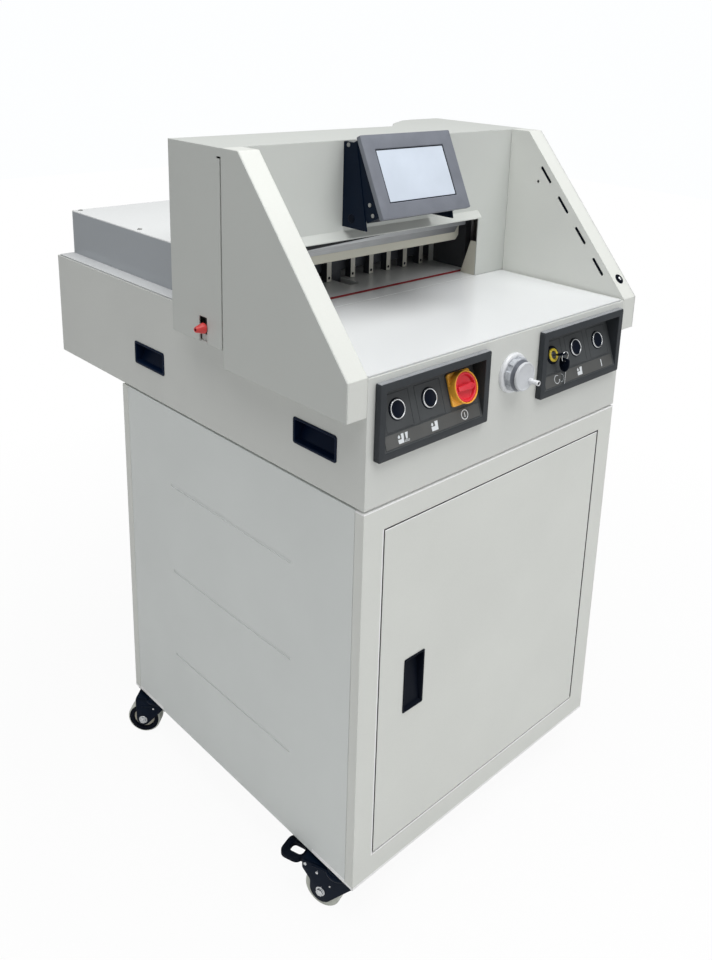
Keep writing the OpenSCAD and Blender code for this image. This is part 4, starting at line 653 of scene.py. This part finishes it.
def makeKeys(s):
    spot = panelFrames["panel_right"].moved(x=-pitch, z=panelSet["row"])
    collar = soften([(9, 0.3), (9, -1.7), (13.4, -1.9), (15, -0.9), (15, 0.3)], 0.6)
    putPiece("lockCollar", "machine", "blackPlastic", "black_plastic", [lathe(spot, collar, loop=True)])
    ring = soften([(6.3, -1.2), (6.4, -3.2), (7.4, -4.2), (9.6, -4.2), (11, -3.0), (11, -1.2)], 0.7)
    putPiece("lockRing", "machine", "ringYellow", "yellow_plastic", [lathe(spot, ring, loop=True)], ["lock_ring"])
    core = soften([(0, -4.0), (4.6, -4.0), (5.8, -3.2), (6.0, -2.4), (6.0, 6.0)], 0.5)
    flat = Place(spot.origin, spot.axes[0], spot.axes[2], spot.axes[1])      # outline in x and depth
    neck = plate(flat, np.array([(2.6, -4.5), (-2.6, -4.5), (-3.2, -13), (3.2, -13)])[::-1], -0.8, 0.8, 0.2)
    putPiece("keyCore", "key", "coreSteel", "zinc_steel", [lathe(spot, core, 32), neck], ["key"])
    bowAt = flat.moved(z=s["eye"] + 3.2)
    outer, hole = roundRect(11.0, 15.6, 4.6), circle(2.5, 24, np.radians(7)) + (0, -3.2)
    putPiece("keyBow", "key", "blackPlastic", "black_plastic", [ringPlate(bowAt, outer, hole, -1.5, 1.5, 0.7)])
    eye = spot.moved(y=s["eye"]).origin
    drop = np.radians(s["drop"])
    ringAt = Place(eye + [s["ring"] * np.cos(drop), 0, -s["ring"] * np.sin(drop)])
    around = circle(s["ring"], 48)
    wire = sweep(ringAt, section(around, 0), circle(s["wire"], 12), (0, 1, 0), True)
    putPiece("keyWireRing", "spare_key", "chrome", "zinc_steel", [wire], ["spare_key"])
    w, h, t = s["bow"]
    hang = Place(ringAt.origin + [0, 0, -s["ring"]], (0, 1, 0), (1, 0, 0), (0, 0, 1))
    bow = soften([(-w / 2, 4), (-w / 2, -h + 13), (-4.6, -h + 5), (4.6, -h + 5), (w / 2, -h + 13), (w / 2, 4), (4, 5),
                  (-4, 5)], 4, True)
    eyeHole = circle(1.7, len(bow), np.radians(225))
    putPiece("spareKeyBow", "spare_key", "blackPlastic", "black_plastic",
             [ringPlate(hang, bow, eyeHole, -t / 2, t / 2, 0.6)])
    w, h, t = s["blade"]
    z = -17.0 - np.array([0, 5, 6.5, 8, 9.5, 11, 12.5, 14, 15.5, 17, h])
    cut = np.array([0, 0, 1.2, 0.2, 1.8, 0.6, 1.4, 0.1, 1.6, 0.3, 2.4])
    loop = np.vstack([np.c_[-w / 2 + 0 * z, z], np.c_[w / 2 - cut, z][::-1]])
    putPiece("spareKeyBlade", "spare_key", "chrome", "zinc_steel", [plate(hang, loop, -t / 2, t / 2, 0.15)])


makeKeys(keySet)
print("buttons, switch and keys made")

# hand wheel: bezel, lobed rim that narrows to a neck, dished front disc, hollow handle
wheelSet = {"lobes": 7, "pocket": 3.2, "handle": (12.29, -8.6)}


def makeHandWheel(s):
    low, high = boxOf("dial_bezel")
    axis = Place(((low[0] + high[0]) / 2, front, (low[2] + high[2]) / 2))
    r = (high[0] - low[0]) / 2
    bezel = soften([(0, 0.5), (r, 0.5), (r, -3.4), (r - 1.6, -5.4), (r - 3.4, -6), (0, -6)], 0.8)
    putPiece("wheelBezel", "machine", "whiteSatin", "satin_aluminium", [lathe(axis, bezel, 64)], ["dial_bezel"])

    def lobes(radius, h, a):
        # pockets between the lobes of the rim: a flattened cosine of the angle, only on the rim's band
        dip = np.clip((np.cos(s["lobes"] * a + 0.9) - 0.05) / 0.4, 0, 1)
        band = np.clip((h + 15.2) / 0.8, 0, 1) * np.clip((-7.0 - h) / 0.6, 0, 1) * (radius > 23)
        return -s["pocket"] * band[:, None] * dip[None, :]

    rim = [(0, -6.4), (25.6, -6.4), (27, -7.2), (27, -7.8), (27, -10), (27, -13.6), (26.4, -14.6), (24.9, -15.2)]
    neck = soften([(24.9, -15.2), (23.6, -15.6), (19.6, -19.4), (19.6, -20.8), (22.2, -21.4), (22.5, -22.6),
                   (22.5, -24.8), (21.6, -26.0), (19.9, -26.0), (19.0, -25.2), (0, -25.0)], 0.6)
    putPiece("handWheelBody", "hand_wheel", "wheelSatin", "satin_aluminium",
             [lathe(axis, np.vstack([rim, neck[1:]]), 126, lobes)], ["hand_wheel"])
    x, z = s["handle"]
    pin = axis.moved(x=x, z=z)
    grip = soften([(0, -24.6), (4.2, -24.6), (4.3, -26.6), (3.7, -31), (3.8, -36), (4.2, -41.2), (3.8, -42),
                   (3.2, -42), (2.9, -41.2), (2.9, -38.4), (0, -38.4)], 0.4)
    putPiece("wheelHandleGrip", "wheel_handle", "whiteSatin", "satin_aluminium", [lathe(pin, grip, 28)],
             ["wheel_handle"])
    # the handle's hollow end is lined black: painted shade in the hole
    bore = [(0, -38.8), (2.5, -38.8), (2.8, -40.6), (2.8, -38.2), (0, -38.2)]
    putPiece("wheelHandleBore", "wheel_handle", "blackPlastic", "black_plastic", [lathe(pin, bore, 20)])


makeHandWheel(wheelSet)

# console: grey bezel round the display
consoleSet = {"middle": (-11.25, 203.0, 1124.0), "tilt": 25.4, "bezel": (199.0, 132.0), "window": (151.0, 85.0),
              "topScrew": (255.0, 1167.0), "sideScrews": ((21.0, -37.0), (21.0, -54.0)), "plug": (245.0, 1055.0),
              "knob": (240.0, 1162.0)}


def screwHead(place, r, h, turn=0.3):
    # pan head with a cross recess: the dome's height dips where |cos 2a| is near one close to the middle
    q = np.linspace(0, 1, 7)
    out = np.r_[q, 1.0]
    rows = np.c_[r * out, -h * np.r_[np.sqrt(1 - 0.75 * q ** 2), 0.0]]
    a = np.linspace(0, 2 * np.pi, 24, endpoint=False)
    dip = np.clip((np.abs(np.cos(2 * (a + turn))) - 0.55) / 0.3, 0, 1)[None] * np.clip(1.4 - 2.2 * out, 0, 1)[:, None]
    points = np.stack([rows[:, :1] * np.cos(a), rows[:, 1:] + 0.6 * h * dip, rows[:, :1] * np.sin(a)], -1)
    points[0, :, 1] = -0.35 * h
    return grid(place(points), first=False)


def makeConsole(s):
    x, y, z = s["middle"]
    face = leaning((x, front + y, z), s["tilt"])
    w, h = s["bezel"]
    a, b = s["window"]
    putPiece("consoleBezel", "machine", "bezelGrey", "grey_plastic",
             [ringPlate(face, roundRect(w, h, 2.4), roundRect(a, b, 0.8), 0, 8.0, 1.0)], ["console_bezel"])
    putPiece("consoleDisplay", "machine", "displayGlass", "screen_cover",
             [plate(face, roundRect(a - 3.4, b - 3.4, 0.8), 1.4, 6.0, 0.3)], ["screen"])
    putPiece("consoleGasket", "machine", "blackPlastic", "black_plastic",
             [ringPlate(face, roundRect(a, b, 0.8), roundRect(a - 3.5, b - 3.5, 0.8), 1.3, 7.0, 0.1)])
    heads = []
    for sideX, out in ((x - w / 2, -1), (x + w / 2, 1)):
        along, up = s["topScrew"]
        heads.append(screwHead(facing((sideX, front + along, up), (-out, 0, 0)), 3.4, 1.8))
        for deep, up in s["sideScrews"]:
            spot = face.moved(x=out * (w / 2 - 1.25), y=deep, z=up).origin
            heads.append(screwHead(facing(spot, (-out, 0, 0)), 3.2, 1.5))
    putPiece("consoleScrews", "machine", "zincSteel", "zinc_steel", heads)
    cap = soften([(0, -1.6), (6, -1.5), (7.2, -0.6), (7.4, 0.2)], 0.6)
    along, up = s["plug"]
    plugs = [lathe(facing((x + k * w / 2, front + along, up), (-k, 0, 0)), cap, 28) for k in (-1, 1)]
    knob = soften([(0, -9), (5.2, -9), (6.4, -7.8), (6.4, -2), (3.4, -1.6), (3.4, 0.4)], 0.7)
    along, up = s["knob"]
    plugs.append(lathe(facing((x + w / 2, front + along, up), (-1, 0, 0)), knob, 28))
    putPiece("consolePlugs", "machine", "blackPlastic", "black_plastic", plugs)


makeConsole(consoleSet)
print("hand wheel and console made")

# moulded cups: hand grips in the base, pull in the door
cupSet = {"grip": {"corner": 4.0, "rim": 1.5, "wall": 4.0, "ramp": 14.0, "deep": 22.0, "size": (92.5, 40.0),
                   "along": (102.5, 534.0), "height": 790.0},
          "pull": {"corner": 2.0, "rim": 1.5, "wall": 3.2, "ramp": 9.0, "deep": 12.5}}


def moulded(place, w, h, s):
    # rim outline, rounded lip, then walls down to a floor that rises by the ramp towards the bottom edge
    corner, rim, deep, openW, openH = s["corner"], s["rim"], s["deep"], w - 2 * s["wall"], h - 2 * s["wall"]
    full, lip, back = roundRect(w, h, corner), roundRect(w - 1.6, h - 1.6, corner), roundRect(w - 5, h - 5, corner)
    mouth, inner = roundRect(openW, openH, corner * 0.6), roundRect(openW - 3, openH - 3, corner * 0.5)
    slope = deep - s["ramp"] * np.clip(0.5 - inner[:, 1] / openH, 0, 1)
    return stack(place, section(back, deep + 1), section(back, 0), section(full, 0), section(full, 0.6 - rim),
                 section(inset(full, 0.25), 0.2 - rim), section(lip, -rim), section(inset(mouth, -0.8), -rim),
                 section(mouth, 0.8 - rim), section(inner, slope))


def makeCups(s):
    low, high = boxOf("grip_cups")
    grip, pull, cups = s["grip"], s["pull"], []
    for out, x in ((-1, low[0] + grip["rim"]), (1, high[0] - grip["rim"])):
        for y in grip["along"]:
            spot = Place((x, front + y, grip["height"]), (0, 1, 0), (-out, 0, 0), (0, 0, 1))
            cups.append(moulded(spot, *grip["size"], grip))
    putPiece("gripCups", "machine", "gripNavy", "black_plastic", cups, ["grip_cups"])
    low, high = boxOf("door_pull")
    spot = Place(((low[0] + high[0]) / 2, low[1] + pull["rim"], (low[2] + high[2]) / 2))
    putPiece("doorPullCup", "door", "blackPlastic", "black_plastic",
             [moulded(spot, high[0] - low[0], high[2] - low[2], pull)], ["door_pull"])


makeCups(cupSet)

# casters: black forks with bolts, wheels with tread, rings and hubs, brake pedals
casterSet = {"x": 279.0, "y": (48.0, 582.0), "turns": (107.5, 80.0, 130.0, 50.0), "trail": 27.0, "wheel": 31.5,
             "leg": (14.0, 17.0), "head": (68.6, 77.6),
             "braked": {"ring": ("treadRubber", "pale_tread"), "hub": 20.0, "front": -30.0, "back": 62.0,
                        "rib": [(14, 74.6), (26, 75.2), (36, 74.8), (44, 73.4)],
                        "rivets": ((10.0, 50.0, 1.7), (34.0, 64.0, 2.6), (56.0, 70.0, 3.0))},
             "plain": {"ring": ("blackPlastic", "black_plastic"), "hub": 13.0, "front": -19.0, "back": 41.0,
                       "rib": [(-6, 67), (8, 64), (20, 62), (30, 62)], "rivets": ((6.0, 58.0, 2.2),)},
             "pedal": {"pin": (56.0, 70.0), "loop": (65.5, 105.0, 20.5, 12.0), "hole": (68.5, 93.0, 8.5, 6.0),
                       "height": (66.0, 74.0)}}
# profiles of the wheel as (radius, along the axle)
treadLine = soften([(27, -11.0), (29.0, -11.9), (30.4, -11.6), (31.5, -10.0), (31.5, 10.0), (30.4, 11.6),
                    (29.0, 11.9), (27, 11.0)], 0.8)
ringLine = soften([(19.6, -8.6), (21.2, -12), (28.6, -12), (29.2, -11.4), (29.2, 11.4), (28.6, 12), (21.2, 12),
                   (19.6, 8.6)], 0.5)
hubLine = soften([(4.1, -12), (8.2, -12), (9.6, -9.4), (18.6, -8.2), (20.6, -9.2), (20.6, 9.2), (18.6, 8.2),
                  (9.6, 9.4), (8.2, 12), (4.1, 12)], 0.8)


def makeCaster(tag, swivel, kind, s):
    axle = swivel.moved(x=s["trail"], z=s["wheel"])
    wheel, fork = "wheel_" + tag, "fork_" + tag
    putPiece(tag + "Tread", wheel, "treadRubber", "pale_tread", [lathe(axle, treadLine, 56, loop=True)], [wheel])
    putPiece(tag + "TyreRings", wheel, *kind["ring"], [lathe(axle, ringLine, 48, loop=True)])
    putPiece(tag + "Hub", wheel, "hubCream", "pale_tread", [lathe(axle, hubLine, 40, loop=True)])
    hub, ahead, back = kind["hub"], kind["front"], kind["back"]
    z0, z1 = s["head"]
    inner, outer = s["leg"]
    arc = np.radians(np.linspace(217, 360, 12))
    loop = np.vstack([[(back, z0 - 8), (back, z1), (ahead, z1), (ahead, z0 - 4)],
                      np.c_[s["trail"] + hub * np.cos(arc), s["wheel"] + hub * np.sin(arc)],
                      [(s["trail"] + hub, s["wheel"] + 13)]])
    loop = soften(loop, 2.5, True, 3)
    parts = [plate(swivel, loop, inner, outer, 0.9), plate(swivel, loop, -outer, -inner, 0.9)]
    upright = Place(swivel.origin, swivel.axes[0], swivel.axes[2], -swivel.axes[1])
    roof = soften([(ahead, -outer), (back, -outer), (back, outer), (ahead, outer)], 3, True)
    parts.append(plate(upright, roof, z1 - 3.2, z1, 0.8))
    bowl = soften([(6.2, z0), (19, z0), (24.6, z0 + 3), (25, z1 - 2), (23.5, z1), (6.2, z1)], 1.2)
    parts.append(lathe(upright, bowl, 40, loop=True))
    for k in (-1, 1):                            # pressed rib along the leg
        rib = np.array(kind["rib"])
        path = np.c_[rib[:, 0], np.full(len(rib), k * (outer - 0.2)), rib[:, 1]]
        parts.append(sweep(swivel, path, circle(1.3, 10), (0, 1, 0)))
    putPiece(tag + "Fork", fork, "blackPaint", "black_paint", parts, [fork])
    bolts = []
    for k in (-1, 1):
        spot = facing(axle.moved(y=k * outer).origin, -k * swivel.axes[1])
        bolts.append(lathe(spot, soften([(0, 0), (8.2, 0), (8.2, -0.9), (6.8, -1.1), (6.8, -1.2)], 0.2), 32))
        bolts.append(lathe(spot, soften([(0, -1), (6.4, -1), (6.4, -4.2), (5.4, -4.9), (0, -4.9)], 0.4), 6))
        bolts.append(lathe(spot, soften([(0, -4.5), (3.7, -4.5), (3.7, -5.4), (2.8, -5.9), (0, -6.1)], 0.4), 24))
        for px, pz, r in kind["rivets"]:
            spot = facing(swivel.moved(x=px, y=k * outer, z=pz).origin, -k * swivel.axes[1])
            dome = soften([(0, 0.4), (r, 0.4), (0.92 * r, -0.8), (0.5 * r, -1.5), (0, -1.6)], 0.5)
            bolts.append(lathe(spot, dome, 16))
    putPiece(tag + "Bolts", fork, "chrome", "zinc_steel", bolts)


def makePedal(tag, swivel, s):
    # flat loop with rounded corners behind the wheel, with a neck and a sleeve round the fork's pin
    x0, x1, half, corner = s["loop"]
    h0, h1, gap, bend = s["hole"]
    low, high = s["height"]
    pin = s["pin"]
    top = Place(swivel.moved(x=(x0 + x1) / 2, z=high).origin, swivel.axes[0], -swivel.axes[2], swivel.axes[1])
    middle = ((h0 + h1 - x0 - x1) / 2, 0)
    thick = high - low
    hole = roundRect(h1 - h0, 2 * gap, bend) + middle
    ring = ringPlate(top, roundRect(x1 - x0, 2 * half, corner), hole, 0, thick, 1.8)
    neck = plate(top, roundRect(x0 + 1.5 - pin[0], 27.0, 1.0) + ((pin[0] - x1 + 1.5) / 2, 0), 0.1, thick - 0.1, 0.6)
    tube = soften([(3.1, -13.4), (6, -13.4), (6, 13.4), (3.1, 13.4)], 0.8)
    sleeve = lathe(swivel.moved(x=pin[0], z=pin[1]), tube, 24, loop=True)
    putPiece(tag + "Pedal", "pedal_" + tag, "blackPlastic", "black_paint", [ring, neck, sleeve], ["pedal_" + tag])


def makeCasters(s):
    corners = (("fl", -1, 0), ("fr", 1, 0), ("rl", -1, 1), ("rr", 1, 1))
    for (tag, side, row), turn in zip(corners, s["turns"]):
        c, d = np.cos(np.radians(turn)), np.sin(np.radians(turn))
        swivel = Place((side * s["x"], front + s["y"][row], 0), (c, d, 0), (-d, c, 0))
        makeCaster(tag, swivel, s["plain" if row else "braked"], s)
        if row == 0:
            makePedal(tag, swivel, s["pedal"])


makeCasters(casterSet)
print("cups and casters made")

# small pieces on the tower, the shields and the covers
trimSet = {"coverScrews": [(k * 258.0, y) for k in (-1, 1) for y in (412.0, 624.0, 838.0)],
           "posts": (28, 73, 117, 160, 204), "postScrew": 917.5, "push": (318.0, 37.5), "slope": (263.0, 227.0),
           "table": 910.0, "knob": (-337.0, 312.0, 905.6)}


def makeTrim(s):
    x, y, z = s["knob"]
    knob = facing((x, front + y, z), (-1, 0, 0))
    line = soften([(4, -0.3), (8.0, -0.4), (8.4, 1.0), (7.7, 4), (5.7, 10), (4.6, 13.6), (3.8, 15.3), (2.4, 15.3),
                   (2.1, 13.6), (0, 13.2)], 0.9)
    putPiece("liftKnob", "stick_lever", "redPaint", "red_paint", [lathe(knob, line, 36)])
    hole = [(0, 13.6), (1.9, 13.6), (2.2, 14.6), (2.3, 13.4), (0, 13.0)]
    putPiece("liftKnobBore", "stick_lever", "blackPlastic", "black_plastic", [lathe(knob, hole, 20)])
    top = boxOf("rear_cover")[1][2]
    putPiece("coverScrews", "machine", "zincSteel", "zinc_steel",
             [screwHead(facing((x, front + y, top), (0, 0, -1)), 4.2, 2.0) for x, y in s["coverScrews"]])
    y = boxOf("back_gauge")[0][1]
    dots = [lathe(facing((k * x, y, s["postScrew"]), (0, 1, 0)), [(0, -0.3), (2.2, -0.4), (2.9, 0.2)], 18)
            for x in s["posts"] for k in (-1, 1)]
    putPiece("gaugePostScrews", "back_gauge", "blackPlastic", "black_plastic", dots)
    slant = np.arctan2(*s["slope"])
    x, t = s["push"]
    spot = facing((x, front + t * np.cos(slant), s["table"] + t * np.sin(slant)), (0, np.sin(slant), -np.cos(slant)))
    putPiece("pushCollar", "machine", "blackPlastic", "black_plastic",
             [lathe(spot, soften([(6.4, 0.3), (6.4, -1.2), (7.4, -1.5), (8.8, -0.8), (9, 0.3)], 0.5), 36, loop=True)])
    putPiece("pushCap", "shield_button", "blackPlastic", "black_plastic",
             [lathe(spot, soften([(0, 8), (6, 8), (6, -2.2), (5.2, -3), (4, -3), (3.8, -2.6), (0, -2.6)], 0.5), 32)],
             ["shield_button"])
    putPiece("pushDome", "shield_button", "chrome", "bright_chrome",
             [lathe(spot, soften([(0, -3.9), (1.8, -3.7), (3.2, -3.1), (3.8, -2.5), (0, -2.4)], 0.5), 28)])


makeTrim(trimSet)
print("trim made")

# stage: white floor that keeps the shadow, soft box overhead, weaker ones at the left and in front
stageSet = {"floor": 14.0, "fill": 0.27, "gloss": 0.34, "clear": (0.6, 1.7), "lamps": {
    "overhead": {"place": (-0.3, -0.8, 3.5), "aim": (-0.05, -0.1, 0.8), "size": 3.0, "power": 95.0},
    "frontFill": {"place": (0.8, -2.4, 1.5), "aim": (0.0, 0.0, 0.98), "size": 1.2, "power": 5.8},
    "lowLeft": {"place": (-2.3, 0.2, 0.35), "aim": (-0.3, 0.0, 0.35), "size": 1.2, "power": 2.5},
    "lowFront": {"place": (0.4, -2.6, 0.35), "aim": (0.0, -0.4, 0.4), "size": 1.6, "power": 6.5}}}


def makeStage(s):
    half = s["floor"] / 2
    x, y = np.meshgrid(np.linspace(-half, half, 9), np.linspace(-half, half, 9), indexing="ij")
    points, faces = grid(np.stack([x, y, 0 * x], -1), openRows=True)
    mesh = bpy.data.meshes.new("paleFloor")
    mesh.from_pydata(points.tolist(), [], [face[::-1] for face in faces])
    material, shader, at = newFinish("paleFloor")
    cloud = noise(at, 3.0, 3.0).clip(0.3, 0.7)
    feed(shader, {"Base Color": cloud.over(tone(236, 236, 236), tone(241, 241, 241)), "Roughness": 0.9})
    glow = at.add("Emission", {}, {"Color": (1, 1, 1, 1), "Strength": 1.0})
    # straight views see a white that is full away from the object and lets its shadow through near it
    far = at.add("VectorMath", {"operation": "LENGTH"}, {0: at}, out="Value").clip(*s["clear"])
    seen = at.add("LightPath", out="Is Camera Ray") * (far * 0.06 + 0.94)
    surface = at.add("MixShader", {}, {0: seen, 1: Sock(at.tree, shader.outputs[0]), 2: glow})
    at.tree.links.new(surface.out, at.tree.nodes["Material Output"].inputs["Surface"])
    mesh.materials.append(material)
    floor = bpy.data.objects.new("paleFloor", mesh)
    bpy.context.scene.collection.objects.link(floor)
    for name, lamp in s["lamps"].items():
        data = bpy.data.lights.new(name, "AREA")
        data.size, data.energy = lamp["size"], lamp["power"]
        light = bpy.data.objects.new(name, data)
        light.location = lamp["place"]
        light.rotation_euler = (Vector(lamp["aim"]) - Vector(lamp["place"])).to_track_quat("-Z", "Y").to_euler()
        bpy.context.scene.collection.objects.link(light)
    world = bpy.data.worlds.new("studio")
    world.use_nodes = True
    bpy.context.scene.world = world
    sky = world.node_tree.nodes["Background"]
    sky.inputs["Color"].default_value = (0.985, 0.995, 1, 1)
    at = Sock(world.node_tree, sky.outputs[0])
    straight, gloss = at.add("LightPath", out="Is Camera Ray"), at.add("LightPath", out="Is Glossy Ray")
    strength = straight * (1 - s["fill"]) + gloss * (s["gloss"] - s["fill"]) + s["fill"]
    plug(world.node_tree, sky.inputs["Strength"], strength)
    bpy.context.scene.view_settings.view_transform = "Standard"


makeStage(stageSet)
